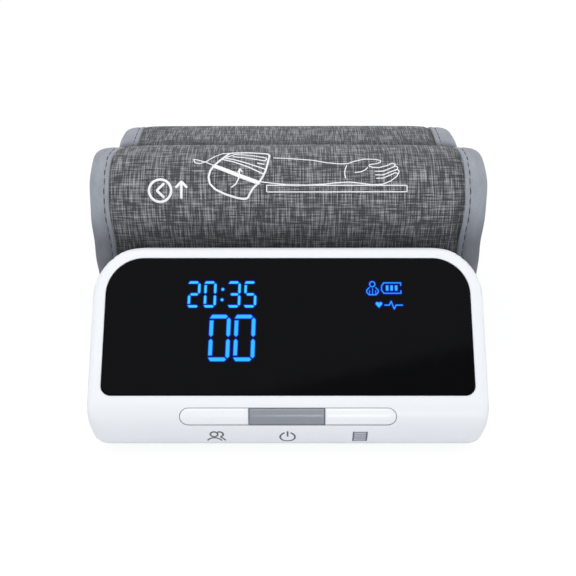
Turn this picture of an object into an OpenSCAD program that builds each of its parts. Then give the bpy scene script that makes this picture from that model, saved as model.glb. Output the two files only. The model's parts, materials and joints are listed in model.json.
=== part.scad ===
// Upper-arm blood pressure monitor: a desk wedge housing with a lit display and three keys,
// fixed to a pre-formed wrap cuff. Y runs from the housing's front edge to the back of the cuff,
// Z is up from the table, X is the width. The origin is under the middle of the whole object.

/* [Housing] */
// Width of the housing
housing_w = 140; // [130:0.5:150]
// Depth of the housing, from the lip's front to the flat back
housing_d = 50; // [48:0.1:54]
// Wall thickness of the moulded shells
wall = 2.4; // [1.8:0.1:3]
// Angle of the display face from level
slope = 41.25; // [38:0.25:45]
// Radius of the rounded front lip
lip_r = 12.7; // [11.5:0.1:14]
// Height of the base above the table
base_gap = 0.9; // [0.5:0.1:2]
// Radius of the top edge where the face meets the back
top_edge_r = 3; // [2:0.1:5]
// Radius of the face's two top corners
face_corner_r = 19; // [10:0.5:24]
// Radius of the two lower side edges
low_edge_r = 7; // [3:0.5:9]
// Radius of the two front upright edges
front_edge_r = 6; // [3:0.5:8]

/* [Display] */
// Width of the white rim beside the window
side_rim = 4.65; // [3:0.05:7]
// Height of the window, up the slope
window_h = 49.6; // [40:0.1:51]
// Distance from the lip's tangent line up to the window
window_low = 2.6; // [2:0.1:4]
// Thickness of the window panel
window_t = 1.8; // [1:0.1:2.5]
// Radius of the window's top corners
window_top_r = 13.5; // [8:0.5:18]
// Radius of the window's lower corners
window_low_r = 3.6; // [2:0.1:8]
// Width of the ledge that carries the window
ledge_w = 2.5; // [1.5:0.1:4]
// Thickness of the light frame's rim
frame_rim_t = 1.6; // [1:0.1:2.5]
// Depth of the light frame behind its rim, down to the main board
frame_depth = 4; // [3:0.1:5]
// Thickness of the main board
board_t = 1.6; // [1:0.1:2]
// Height of the two large result digits
big_digit_h = 17; // [12:0.5:22]
// Height of the four clock digits
clock_digit_h = 9.4; // [6:0.2:12]

/* [Keys] */
// Length of the pill-shaped key opening
keys_l = 75.6; // [60:0.2:90]
// Height of the key opening, across the lip
keys_h = 6.4; // [5:0.1:8]
// Width of the middle key
mid_key_w = 26.6; // [18:0.2:34]
// Direction the keys face, above level
key_angle = 27; // [20:1:34]
// Travel of a key
key_travel = 0.4; // [0.2:0.05:0.6]
// Running gap round each key
key_gap = 0.25; // [0.15:0.05:0.4]
// Height that a key stands proud of the lip
key_proud = 0.25; // [0:0.05:0.5]
// Side of a square key switch
switch_w = 6; // [4.5:0.1:7]
// Radius of a switch plunger
plunger_r = 1.75; // [1.2:0.05:2.2]

/* [Air and power] */
// Radius of the pump motor
motor_r = 10; // [8:0.1:10.5]
// Length of the pump motor
motor_l = 26; // [22:0.5:30]
// Side of the square pump head
head_w = 20; // [18:0.5:21]
// Length of the pump head
head_l = 20; // [14:0.5:24]
// Outer radius of the air hoses
hose_r = 2; // [1.6:0.1:2.5]
// Bore radius of the air hoses
hose_bore_r = 1.2; // [0.8:0.1:1.4]
// Radius of the release valve
valve_r = 5; // [4:0.1:5.5]
// Length of the release valve
valve_l = 16; // [12:0.5:20]
// Radius of the battery cell
cell_r = 9.2; // [7:0.1:9.5]
// Length of the battery cell
cell_l = 35; // [30:0.5:38]
// Radius of the cuff nozzle's tube
nozzle_r = 2.6; // [2:0.1:3]
// Radius of a rubber foot
foot_r = 4.5; // [3:0.1:5]

/* [Cuff] */
// Width of the cuff band
cuff_w = 145; // [135:0.5:160]
// Thickness of the outer cloth
cloth_t = 2; // [1.4:0.1:2.6]
// Thickness of the pre-formed core sheet
core_t = 0.8; // [0.5:0.1:1.2]
// Thickness of the flat air bladder
bladder_t = 1.6; // [1:0.1:2.4]
// Thickness of the liner on the arm side
liner_t = 2; // [1.4:0.1:2.6]
// Width of the binding tape on each face
tape_w = 7.7; // [6:0.1:10]
// Thickness of the binding tape
tape_t = 0.7; // [0.5:0.1:1]
// Depth that the stitched tape sits below the cloth's face
tape_sink = 0.2; // [0.1:0.05:0.4]
// Thickness of each half of the hook-and-loop fastening
fastening_t = 0.7; // [0.5:0.05:0.9]
// Gap between the two laps' fastening faces
lap_gap = 0.3; // [0.2:0.05:0.6]
// Radius of the band's outside over the front bump
bump_r = 19.5; // [17:0.5:22]
// Height of the front bump's centre above the table
bump_z = 66; // [60:0.5:72]
// Angle that the band turns down behind the bump
bump_turn = 75; // [65:1:82]
// Radius of the band's outside round the top of the back
back_top_r = 25; // [22:0.5:28]
// Height of the centre of that top bend
back_top_z = 46.5; // [42:0.5:52]
// Radius of the band's outside round the foot of the back
back_low_r = 33.2; // [28:0.2:36]
// Depth of the whole object
overall_d = 149; // [144:0.5:158]
// Distance from the dip behind the bump to the outer lap's free end
tip_clear = 2.5; // [1.5:0.5:8]
// Length of the bracket that joins the housing and the cuff
bracket_w = 84; // [70:1:100]
// Height of that bracket
bracket_h = 36; // [30:1:38]

/* [Hidden] */

fit = 0.15;          // gap round a cover in its opening
bend_step = 10;      // degrees a side of a round stretch
far = 200;           // longer than any piece
$fn = 48;

// ---- Outlines -------------------------------------------------------------------------------

// Unit vector at an angle.
function aim(a) = [cos(a), sin(a)];

// Points of an arc about centre c.
function arc(c, r, from, to, steps = 10) =
  r < 0.05 ? [c] : [for (i = [0:steps]) c + r * aim(from + (to - from) * i / steps)];

// Rectangle between two corners, each corner with its own radius:
// lower left, lower right, upper right, upper left.
function rounded(lo, hi, r) = concat(
  arc([lo[0] + r[0], lo[1] + r[0]], r[0], 180, 270),
  arc([hi[0] - r[1], lo[1] + r[1]], r[1], 270, 360),
  arc([hi[0] - r[2], hi[1] - r[2]], r[2], 0, 90),
  arc([lo[0] + r[3], hi[1] - r[3]], r[3], 90, 180));

// Lays a Y-Z outline flat across the width.
module across(w) {
  rotate([90, 0, 90])
    translate([0, 0, -w / 2])
      linear_extrude(w) children();
}

// A rod along X, between two places.
module rod_x(x, y, z, r, l) {
  translate([x, y, z])
    rotate([0, 90, 0]) cylinder(r = r, h = l);
}

// A rod along Y, away from the front.
module rod_y(x, y, z, r, l) {
  translate([x, y, z])
    rotate([-90, 0, 0]) cylinder(r = r, h = l);
}

// A block centred on X, between two Y places and two Z places.
module block(w, y, z) {
  translate([-w / 2, y[0], z[0]])
    cube([w, y[1] - y[0], z[1] - z[0]]);
}

// Both sides of the symmetrical object.
module both_sides() {
  children();
  mirror([1, 0, 0]) children();
}

// Moves a piece from the front edge's frame to the object's own origin.
module placed() {
  translate([0, -overall_d / 2, 0]) children();
}

// ---- Housing body ---------------------------------------------------------------------------

lip = [lip_r, base_gap + lip_r];                        // centre of the lip's rounding, Y and Z
face_low = lip + lip_r * aim(90 + slope);               // where the flat face starts
top_y = housing_d - top_edge_r;
top_z = face_low[1] + ((top_y - face_low[0]) * sin(slope) - top_edge_r) / cos(slope);
face_h = (top_y - face_low[0]) * cos(slope) + (top_z - face_low[1]) * sin(slope) + top_edge_r;
housing_top = top_z + top_edge_r;

// Side outline of the housing, drawn in by a wall.
function side_outline(inset) = concat(
  arc(lip, lip_r - inset, 90 + slope, 270, 20),
  [[housing_d - inset, base_gap + inset]],
  arc([top_y, top_z], max(top_edge_r - inset, 0.3), 0, 90 + slope, 8));

function face_outline(inset) = rounded([-housing_w / 2 + inset, -far / 4],
  [housing_w / 2 - inset, face_h - inset],
  [0, 0, face_corner_r - inset, face_corner_r - inset]);

function front_outline(inset) = rounded([-housing_w / 2 + inset, base_gap + inset],
  [housing_w / 2 - inset, far / 2],
  [max(low_edge_r - inset, 0), max(low_edge_r - inset, 0), 0, 0]);

function plan_outline(inset) = rounded([-housing_w / 2 + inset, inset],
  [housing_w / 2 - inset, far / 2],
  [max(front_edge_r - inset, 0), max(front_edge_r - inset, 0), 0, 0]);

// On the display face: X across, Y up the slope from the lip, Z out of the face.
module on_face() {
  translate([0, face_low[0], face_low[1]])
    rotate([slope, 0, 0]) children();
}

// The housing's outside, drawn in by a wall for its inside.
module body(inset) {
  intersection() {
    across(housing_w - 2 * inset) polygon(side_outline(inset));
    on_face()
      translate([0, 0, -far / 2]) linear_extrude(far) polygon(face_outline(inset));
    translate([0, far / 2, 0])
      rotate([90, 0, 0]) linear_extrude(far) polygon(front_outline(inset));
    linear_extrude(far) polygon(plan_outline(inset));
  }
}

// ---- Window and display ---------------------------------------------------------------------

window_sink = 0.1;
window_back = window_sink + window_t;
ledge_back = wall + 1;
frame_back = ledge_back + frame_rim_t;
board_front = frame_back + frame_depth;
board_back = board_front + board_t;

function window_outline(inset) = rounded(
  [-housing_w / 2 + side_rim + inset, window_low + inset],
  [housing_w / 2 - side_rim - inset, window_low + window_h - inset],
  [window_low_r, window_low_r, window_top_r, window_top_r]);

// A plate on the face, between two depths behind it.
module face_plate(from, to) {
  on_face()
    translate([0, 0, -to]) linear_extrude(to - from) children();
}

module display_window() {
  color("#141416")
    placed() face_plate(window_sink, window_back) polygon(window_outline(0));
}

frame_low = window_low + ledge_w + 1.4;      // lower edge of the light frame, clear of the keys
frame_top = window_low + window_h;
board_half_w = housing_w / 2 - wall - 4.5;
board_top = (housing_d - wall - 1.2 - face_low[0] - board_back * sin(slope)) / cos(slope);
board_post_x = 54;
board_post_y = [frame_low + 4, board_top - 4];

// Outline of the pieces behind the window: the housing's own outline, drawn in.
function inner_outline(inset, low) = rounded(
  [-housing_w / 2 + inset, low],
  [housing_w / 2 - inset, frame_top],
  [2, 2, face_corner_r - inset, face_corner_r - inset]);

// Digits: bars of a seven-bar figure, leaning by slant degrees.
slant = 8;
segment_codes = [[1, 1, 1, 0, 1, 1, 1], [0, 0, 1, 0, 0, 1, 0], [1, 0, 1, 1, 1, 0, 1],
  [1, 0, 1, 1, 0, 1, 1], [0, 1, 1, 1, 0, 1, 0], [1, 1, 0, 1, 0, 1, 1]];
big_digits = [0, 0];
clock_digits = [2, 0, 3, 5];
digit_ratio = 0.44;                          // width of a digit by its height
digit_pitch = 0.56;                          // distance between digits by their height
big_centre = [-19.8, 22.9];
clock_centre = [-23.5, 38.7];

// One lit bar: a thin block with pointed ends.
module bar(l, t) {
  polygon([[-l / 2, 0], [-l / 2 + t / 2, t / 2], [l / 2 - t / 2, t / 2],
    [l / 2, 0], [l / 2 - t / 2, -t / 2], [-l / 2 + t / 2, -t / 2]]);
}

// One seven-bar figure, h high, about its own centre.
module figure(code, h) {
  t = h * 0.13;
  w = h * digit_ratio - t;
  half = (h - t) / 2;
  gap = t * 0.25;
  places = [[0, half, 0], [-w / 2, half / 2, 90], [w / 2, half / 2, 90], [0, 0, 0],
    [-w / 2, -half / 2, 90], [w / 2, -half / 2, 90], [0, -half, 0]];
  for (i = [0:6])
    if (code[i] == 1)
      translate([places[i][0] + places[i][1] * tan(slant), places[i][1]])
        rotate(places[i][2] == 0 ? 0 : 90 - slant)
          bar((places[i][2] == 0 ? w : half) - gap, t);
}

module figures(digits, h, colon) {
  n = len(digits);
  for (i = [0:n - 1])
    translate([(i - (n - 1) / 2) * digit_pitch * h + colon * (i < n / 2 ? -1 : 1), 0])
      figure(segment_codes[digits[i]], h);
  if (colon > 0)
    for (s = [-1, 1])
      translate([s * h * 0.2 * tan(slant), s * h * 0.2]) circle(r = h * 0.065);
}

module digit_outlines() {
  translate(big_centre) figures(big_digits, big_digit_h, 0);
  translate(clock_centre) figures(clock_digits, clock_digit_h, 0.8);
}

module display_light_frame() {
  color("#2a2a2c") placed()
    difference() {
      union() {
        face_plate(ledge_back, frame_back)
          polygon(inner_outline(wall + 0.4, frame_low - 1));
        face_plate(window_back, ledge_back)
          polygon(window_outline(ledge_w + fit));
        both_sides()
          for (y = board_post_y)
            on_face()
              translate([board_post_x, y, -board_front])
                cylinder(r = 3, h = frame_depth + 0.5);
      }
      face_plate(window_back - 1, frame_back + 1) digit_outlines();
      both_sides()
        for (y = board_post_y)
          on_face()
            translate([board_post_x, y, -board_front - 1]) cylinder(r = 0.85, h = 5);
    }
}

module digit_light_guides() {
  color("#3aa0ff") placed()
    face_plate(window_back, frame_back) digit_outlines();
}

module main_board() {
  color("#1e6b3a") placed()
    difference() {
      face_plate(board_front, board_back)
        polygon(rounded([-board_half_w, frame_low], [board_half_w, board_top], [2, 2, 10, 10]));
      both_sides()
        for (y = board_post_y)
          on_face()
            translate([board_post_x, y, -board_back - 1]) cylinder(r = 1.25, h = 5);
    }
}

// A pan-head screw, head up at the origin, shaft down Z.
module screw(shaft_r, shaft_l, head_r, head_t) {
  cylinder(r = head_r, h = head_t);
  translate([0, 0, -shaft_l]) cylinder(r = shaft_r, h = shaft_l + 0.1);
}

module board_screws() {
  color("silver") placed()
    both_sides()
      for (y = board_post_y)
        on_face()
          translate([board_post_x, y, -board_back])
            rotate([180, 0, 0]) screw(0.8, board_t + 3, 2.2, 1.4);
}

// ---- Keys -----------------------------------------------------------------------------------

key_back = wall + 1.2;                       // depth of a key's retaining flange
flange_out = 0.9;
board_lift = 3;                              // key board above the lip's centre
key_board_t = 1.2;
switch_t = 3.1;
switch_top = board_lift + key_board_t + switch_t;
plunger_out = 1.2;                           // height of a plunger above its switch
key_board_l = keys_l + 14;
key_post_x = keys_l / 2 + 4;
side_key_x = (keys_l / 2 + mid_key_w / 2) / 2;
key_places = [-side_key_x, 0, side_key_x];

// Facing out of the lip along the keys' travel, from the lip's centre.
module on_lip() {
  translate([0, lip[0], lip[1]])
    rotate([90 - key_angle, 0, 0]) children();
}

// The pill outline of the key opening, grown by a gap.
module pill(grow) {
  both_sides()
    translate([keys_l / 2 - keys_h / 2, 0]) circle(r = keys_h / 2 + grow);
  square([keys_l - keys_h, keys_h + 2 * grow], center = true);
}

// The part of a pill between two X places, in a layer of the lip between two radii.
module lip_layer(grow, from, to, low, high) {
  intersection() {
    linear_extrude(lip_r * 2)
      intersection() {
        pill(grow);
        translate([from, -lip_r]) square([to - from, 2 * lip_r]);
      }
    difference() {
      rod_x(-far / 2, 0, 0, high, far);
      rod_x(-far / 2 - 1, 0, 0, low, far + 2);
    }
  }
}

// A key cap between two X places, with its flange and the stem over its switch.
module key(from, to, stem_x) {
  placed()
    on_lip() {
      lip_layer(-key_gap, from, to, lip_r - key_back, lip_r + key_proud);
      lip_layer(flange_out, from, to, lip_r - key_back, lip_r - wall - 0.2);
      translate([stem_x, 0, switch_top + plunger_out])
        cylinder(r = plunger_r + 0.5, h = lip_r - key_back - switch_top - plunger_out + 0.4);
    }
}

module user_key() {
  color("#eef0f4") key(-keys_l, -mid_key_w / 2 - key_gap, key_places[0]);
}

module power_key() {
  color("#8c9098") key(-mid_key_w / 2, mid_key_w / 2, key_places[1]);
}

module memory_key() {
  color("#eef0f4") key(mid_key_w / 2 + key_gap, keys_l, key_places[2]);
}

// The plunger that a key pushes into its switch.
module switch_plunger(x) {
  color("#2b2b2b") placed()
    on_lip()
      translate([x, 0, switch_top - plunger_out]) cylinder(r = plunger_r, h = 2 * plunger_out);
}

module user_switch_plunger() {
  switch_plunger(key_places[0]);
}

module power_switch_plunger() {
  switch_plunger(key_places[1]);
}

module memory_switch_plunger() {
  switch_plunger(key_places[2]);
}

module key_switches() {
  color("#4a4c50") placed()
    on_lip()
      for (x = key_places)
        difference() {
          translate([x - switch_w / 2, -switch_w / 2, switch_top - switch_t])
            cube([switch_w, switch_w, switch_t]);
          translate([x, 0, switch_top - plunger_out - key_travel - 0.1])
            cylinder(r = plunger_r + 0.1, h = switch_t);
        }
}

module key_board() {
  color("#1e6b3a") placed()
    on_lip()
      difference() {
        translate([-key_board_l / 2, -4.2, board_lift])
          cube([key_board_l, 8.4, key_board_t]);
        both_sides()
          translate([key_post_x, 0, board_lift - 1]) cylinder(r = 1.1, h = key_board_t + 2);
      }
}

module key_board_screws() {
  color("silver") placed()
    both_sides()
      on_lip()
        translate([key_post_x, 0, board_lift])
          rotate([180, 0, 0]) screw(0.75, key_board_t + 3.5, 1.9, 1.2);
}

// Posts inside the lip that carry the key board.
module key_board_posts() {
  both_sides()
    on_lip()
      difference() {
        translate([key_post_x, 0, board_lift + key_board_t])
          cylinder(r = 2.2, h = lip_r - wall / 2 - board_lift - key_board_t);
        translate([key_post_x, 0, board_lift]) cylinder(r = 0.8, h = key_board_t + 4);
      }
}

// ---- Shells ---------------------------------------------------------------------------------

base_in = 9;                                 // base cover's edge in from the housing's side
base_front = 14;
base_back = housing_d - wall - 0.4;
rear_in = 5.5;                               // rear cover's edge in from the housing's side
rear_low = 5;
rear_high = top_z - 4.5;
rear_corner_r = 14;
base_screw_at = [housing_w / 2 - 28, 18];
base_post_h = 8;
rear_post_in = 9;                            // rear posts' axis in from the housing's side
rear_post_x = housing_w / 2 - rear_post_in;
rear_post_z = [9, 36];
rear_post_l = [4, 7];
post_r = 3;
pilot_r = 1.1;
shaft_r = 1.05;
shaft_gap = 0.3;

function rear_outline(grow) = rounded([-housing_w / 2 + rear_in - grow, rear_low - grow],
  [housing_w / 2 - rear_in + grow, rear_high + grow],
  [2, 2, rear_corner_r, rear_corner_r]);

function base_outline(grow) = rounded([-housing_w / 2 + base_in - grow, base_front - grow],
  [housing_w / 2 - base_in + grow, base_back],
  [3, 3, 1, 1]);

// A flat panel facing the back, between two Y places.
module rear_panel(from, to) {
  translate([0, to, 0])
    rotate([90, 0, 0]) linear_extrude(to - from) children();
}

socket_y = 31;
socket_z = 10;
socket_h = 3.2;
socket_w = 9;
socket_l = 7.5;

module socket_outline(grow) {
  square([socket_w - socket_h, socket_h + 2 * grow], center = true);
  for (s = [-1, 1])
    translate([s * (socket_w - socket_h) / 2, 0]) circle(r = socket_h / 2 + grow);
}

// Faces +X from the socket's inner end.
module on_socket(x) {
  translate([x, socket_y, socket_z])
    rotate([90, 0, 90]) children();
}

module front_housing() {
  color("#f2f4f8") placed() {
    difference() {
      body(0);
      body(wall);
      face_plate(-1, window_back) polygon(window_outline(-fit));
      face_plate(0, ledge_back + 3) polygon(window_outline(ledge_w));
      on_lip()
        linear_extrude(lip_r * 2) pill(0);
      translate([0, 0, -1]) linear_extrude(wall + base_gap + 1.2) polygon(base_outline(fit));
      rear_panel(housing_d - wall - 0.2, housing_d + 1) polygon(rear_outline(fit));
      on_socket(housing_w / 2 - wall - 1)
        linear_extrude(wall + 2) socket_outline(fit);
    }
    intersection() {
      body(wall / 2);
      union() {
        window_ledge();
        key_board_posts();
        both_sides() base_post();
        both_sides()
          for (i = [0, 1]) rear_post(rear_post_z[i], rear_post_l[i]);
      }
    }
  }
}

// Frame under the window's edge, that the light frame lies against.
module window_ledge() {
  difference() {
    face_plate(window_back, ledge_back) polygon(window_outline(-1.5));
    face_plate(window_back - 1, ledge_back + 1) polygon(window_outline(ledge_w));
  }
}

// Screw post over the base cover, with its rib to the side wall.
module base_post() {
  z = base_gap + wall;
  difference() {
    union() {
      translate([base_screw_at[0], base_screw_at[1], z]) cylinder(r = post_r, h = base_post_h);
      translate([base_screw_at[0], base_screw_at[1] - 1, z])
        cube([housing_w / 2 - base_screw_at[0] - wall / 2, 2, base_post_h]);
    }
    translate([base_screw_at[0], base_screw_at[1], z - 1])
      cylinder(r = pilot_r, h = base_post_h - 1);
  }
}

// Screw post in front of the rear cover, with its rib to the side wall.
module rear_post(z, l) {
  y = housing_d - wall - l;
  difference() {
    union() {
      rod_y(rear_post_x, y, z, post_r, l);
      translate([rear_post_x, y, z - 1]) cube([rear_post_in - wall / 2, l, 2]);
    }
    rod_y(rear_post_x, y - 1, z, pilot_r, l + 2);
  }
}

nozzle_z = 27;
bracket_z = 30;
bracket_screw_at = [34, 9];                  // from the middle of the bracket
manifold_y = [37, 45];
manifold_z = [20, 31];
manifold_w = 12;

module rear_cover() {
  color("#eceef2") placed()
    difference() {
      union() {
        rear_panel(housing_d - wall, housing_d) polygon(rear_outline(0));
        rod_y(0, manifold_y[1], nozzle_z, 6, housing_d - wall - manifold_y[1]);
        block_at(valve_x + valve_l / 2, 6, [valve_y + valve_r, housing_d - wall],
          [nozzle_z - 2, nozzle_z + 2]);
      }
      rod_y(0, 0, nozzle_z, nozzle_r + 0.1, far);
      for (x = [-rear_post_x, rear_post_x], z = rear_post_z) {
        rod_y(x, 0, z, shaft_r + shaft_gap, far);
        rod_y(x, housing_d - 1.3, z, 2.4, 5);
      }
      for (x = [-1, 1], z = [-1, 1])
        rod_y(x * bracket_screw_at[0], 0, bracket_z + z * bracket_screw_at[1],
          shaft_r + shaft_gap, far);
    }
}

// A block about an X place.
module block_at(x, w, y, z) {
  translate([x, 0, 0]) block(w, y, z);
}

module rear_screws() {
  color("silver") placed()
    for (x = [-rear_post_x, rear_post_x], i = [0, 1])
      translate([x, housing_d - 1.3, rear_post_z[i]])
        rotate([-90, 0, 0]) screw(shaft_r, wall - 1.3 + rear_post_l[i] - 0.5, 2.2, 1.2);
}

foot_at = [housing_w / 2 - 15, 20, 40];      // X, front Y and back Y of the feet
foot_sink = 0.6;
cell_at = [housing_w / 2 - 38.5, 34];        // X and Y of the battery's middle
cell_z = base_gap + wall + 0.8 + cell_r;
pump_x = -housing_w / 2 + 12.2;              // outer end of the pump
pump_y = 35;
pump_z = 15;
saddle_w = 3;
saddle_gap = 0.1;
charge_board_t = 1.2;
charge_z = socket_z - socket_h / 2 - charge_board_t;

module base_cover() {
  top = base_gap + wall;
  color("#eceef2") placed()
    difference() {
      union() {
        translate([0, 0, base_gap]) linear_extrude(wall) polygon(base_outline(0));
        for (s = [-1, 1])
          block_at(cell_at[0] + s * cell_l * 0.32, saddle_w,
            [cell_at[1] - 7, cell_at[1] + 7], [top - 0.5, cell_z - 5]);
        block_at(charge_x + 3.5, 5, [socket_y - 4, socket_y + 4], [top - 0.5, charge_z]);
      }
      rod_x(0, cell_at[1], cell_z, cell_r + saddle_gap, far / 2);
      for (s = [-1, 1]) {
        translate([s * base_screw_at[0], base_screw_at[1], 0])
          cylinder(r = shaft_r + shaft_gap, h = far / 8);
        translate([s * base_screw_at[0], base_screw_at[1], 0]) cylinder(r = 2.4, h = base_gap + 1.3);
        for (y = [foot_at[1], foot_at[2]])
          translate([s * foot_at[0], y, 0]) cylinder(r = foot_r, h = base_gap + foot_sink);
      }
    }
}

module base_screws() {
  color("silver") placed()
    both_sides()
      translate([base_screw_at[0], base_screw_at[1], base_gap + 1.3])
        rotate([180, 0, 0]) screw(shaft_r, wall - 1.3 + base_post_h - 2.5, 2.2, 1.2);
}

module rubber_feet() {
  color("#55585e") placed()
    both_sides()
      for (y = [foot_at[1], foot_at[2]])
        translate([foot_at[0], y, 0]) cylinder(r = foot_r, h = base_gap + foot_sink);
}

// ---- Power ----------------------------------------------------------------------------------

charge_l = 12;
charge_x = housing_w / 2 - wall - 0.9 - charge_l;

module battery_cell() {
  color("#2f6fb5") placed() {
    rod_x(cell_at[0] - cell_l / 2, cell_at[1], cell_z, cell_r, cell_l);
    rod_x(cell_at[0] + cell_l / 2, cell_at[1], cell_z, cell_r * 0.35, 0.9);
  }
}

module charge_board() {
  color("#1e6b3a") placed()
    block_at(charge_x + charge_l / 2, charge_l, [socket_y - 6.5, socket_y + 6.5],
      [charge_z, charge_z + charge_board_t]);
}

module charging_socket() {
  color("#b9bcc2") placed()
    on_socket(housing_w / 2 - wall - socket_l + 0.8) {
      difference() {
        linear_extrude(socket_l) socket_outline(0);
        translate([0, 0, 1]) linear_extrude(socket_l) socket_outline(-0.35);
      }
      translate([-3, -0.35, 0.5]) cube([6, 0.7, socket_l - 1.5]);
    }
}

// ---- Air ------------------------------------------------------------------------------------

head_x = pump_x + motor_l;                   // where the pump head starts
head_end = head_x + head_l;
pump_port = [41, 22];                        // Y and Z of the pump's outlet
port_l = 2.5;
port_r = hose_bore_r - 0.05;                 // radius of the ports that the hoses push on to
hose_gap = 0.3;
sensor_up = 32;                              // sensor's place up the slope
sensor_t = 2.2;
sensor_w = 8;
valve_y = 41;
valve_x = manifold_w / 2 + 6;

// A short hose, up from the origin.
module hose(l) {
  difference() {
    cylinder(r = hose_r, h = l);
    translate([0, 0, -1]) cylinder(r = hose_bore_r, h = l + 2);
  }
}

module pump_motor() {
  color("#b7bac0") placed() {
    rod_x(pump_x, pump_y, pump_z, motor_r, motor_l);
    rod_x(pump_x - 1.2, pump_y, pump_z, 3, 1.2);
  }
}

module pump_head() {
  color("#26282c") placed() {
    translate([head_x, pump_y - head_w / 2, pump_z - head_w / 2]) cube([head_l, head_w, head_w]);
    rod_x(head_end, pump_port[0], pump_port[1], port_r, port_l);
  }
}

module pump_sleeve() {
  color("#3a3c40") placed()
    difference() {
      union() {
        rod_x(pump_x + 6, pump_y, pump_z, motor_r + 1.5, 12);
        block_at(pump_x + 12, 12, [pump_y - 9, pump_y + 9], [base_gap + wall, pump_z]);
      }
      rod_x(pump_x, pump_y, pump_z, motor_r, motor_l);
    }
}

module pump_hose() {
  color("#d8dade") placed()
    translate([head_end + hose_gap, pump_port[0], pump_port[1]])
      rotate([0, 90, 0]) hose(-manifold_w / 2 - head_end - 2 * hose_gap);
}

module air_manifold() {
  color("#d0d3d8") placed()
    difference() {
      union() {
        block(manifold_w, manifold_y, manifold_z);
        rod_x(-manifold_w / 2 - port_l, pump_port[0], pump_port[1], port_r, port_l);
        rod_x(manifold_w / 2, valve_y, nozzle_z, port_r, port_l);
        on_face()
          translate([0, sensor_up, -21]) cylinder(r = port_r, h = 6.2);
      }
      rod_y(0, manifold_y[1] - 5, nozzle_z, nozzle_r + 0.05, 10);
      rod_y(0, manifold_y[1] - 1.5, nozzle_z, nozzle_r + 1.5, 5);
    }
}

module sensor_hose() {
  color("#d8dade") placed()
    on_face()
      translate([0, sensor_up, -board_back - sensor_t - 0.2 - 2.6]) hose(2.6);
}

module valve_hose() {
  color("#d8dade") placed()
    translate([manifold_w / 2 + hose_gap, valve_y, nozzle_z])
      rotate([0, 90, 0]) hose(valve_x - manifold_w / 2 - 2 * hose_gap);
}

module release_valve() {
  color("#8f9298") placed() {
    rod_x(valve_x, valve_y, nozzle_z, valve_r, valve_l);
    rod_x(valve_x - 2.5, valve_y, nozzle_z, port_r, 2.6);
  }
}

module pressure_sensor() {
  color("#e8e8e4") placed()
    on_face() {
      translate([-sensor_w / 2, sensor_up - sensor_w / 2, -board_back - sensor_t])
        cube([sensor_w, sensor_w, sensor_t]);
      translate([0, sensor_up, -board_back - sensor_t - 1.2]) cylinder(r = port_r, h = 1.3);
    }
}

module buzzer() {
  color("#1c1c1e") placed()
    on_face()
      translate([40, frame_low + 8, -board_back - 3]) cylinder(r = 5, h = 3);
}

// ---- Cuff band ------------------------------------------------------------------------------

band_t = cloth_t + core_t + bladder_t + liner_t;
half_t = band_t / 2;                         // outside of the band, from its middle line
core_at = half_t - cloth_t;
bladder_at = core_at - core_t;
liner_at = bladder_at - bladder_t;
bracket_t = 3.8;
mount_y = housing_d + bracket_t + half_t;    // the band's middle line behind the housing
lap_step = band_t + 2 * fastening_t + lap_gap;
back_y = overall_d - half_t;                 // middle line of the ring's back
mid_bump_r = bump_r - half_t;
mid_top_r = back_top_r - half_t;
mid_low_r = back_low_r - half_t;
front_low_r = 12;                            // bend under the housing's back edge
inner_front_r = 9;                           // bend at the front of the inner lap
inner_end_l = 8;
bump_flat = 0.9;
inner_y = back_y - lap_step;
inner_low_z = half_t + lap_step;
inner_top_z = back_top_z + mid_top_r - lap_step;
valley_drop = bump_z + mid_bump_r * cos(bump_turn) - inner_top_z;
valley_r = valley_drop / (1 - cos(bump_turn));
valley_end = mount_y + mid_bump_r + bump_flat + (mid_bump_r + valley_r) * sin(bump_turn);
top_centre_y = back_y - mid_top_r;
low_centre_y = back_y - mid_low_r;
low_centre_z = mid_low_r + half_t;
inner_front_y = mount_y + lap_step;

// A stretch of the band is [length, 0], or [radius, turn] with a left turn positive.
upper_moves = [[bump_z - bracket_z, 0], [mid_bump_r, -90], [bump_flat, 0],
  [mid_bump_r, -bump_turn], [valley_r, bump_turn], [top_centre_y - valley_end, 0],
  [mid_top_r - lap_step, -90], [back_top_z - low_centre_z, 0], [mid_low_r - lap_step, -90],
  [low_centre_y - inner_front_y - inner_front_r, 0], [inner_front_r, -90], [inner_end_l, 0]];
lower_moves = [[bracket_z - half_t - front_low_r, 0], [front_low_r, 90],
  [low_centre_y - mount_y - front_low_r, 0], [mid_low_r, 90]];
fold_at = 40;                                // angle round the top bend where the laps part
fold_turn = 0.2;                             // angle of the gap between the two laps
back_lap_moves = [[back_top_z - low_centre_z, 0], [mid_top_r, fold_at]];
tip_lap_moves = [[mid_top_r, 90 - fold_at - fold_turn],
  [top_centre_y - valley_end - tip_clear, 0]];

// Place reached round a bend of radius r, after a turn.
function bent(p, h, r, turn) = p + r * sign(turn) * (aim(h + 90) - aim(h + turn + 90));

// Where a stretch ends.
function after(p, h, m) = m[1] == 0 ? p + m[0] * aim(h) : bent(p, h, m[0], m[1]);

// Points along the band's middle line, each with its heading.
function line(p, h, moves, i = 0) = i == len(moves) ? [[p, h]] : concat(
  moves[i][1] == 0 ? [[p, h]] :
    let (n = ceil(abs(moves[i][1]) / bend_step))
    [for (k = [0:n - 1])
      let (turn = moves[i][1] * k / n)
      [bent(p, h, moves[i][0], turn), h + turn]],
  line(after(p, h, moves[i]), h + moves[i][1], moves, i + 1));

function backwards(l) = [for (i = [len(l) - 1:-1:0]) [l[i][0], l[i][1] + 180]];
function tail(l) = [for (i = [1:len(l) - 1]) l[i]];
function part_of(l, n) = [for (i = [0:n - 1]) l[i]];

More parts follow.
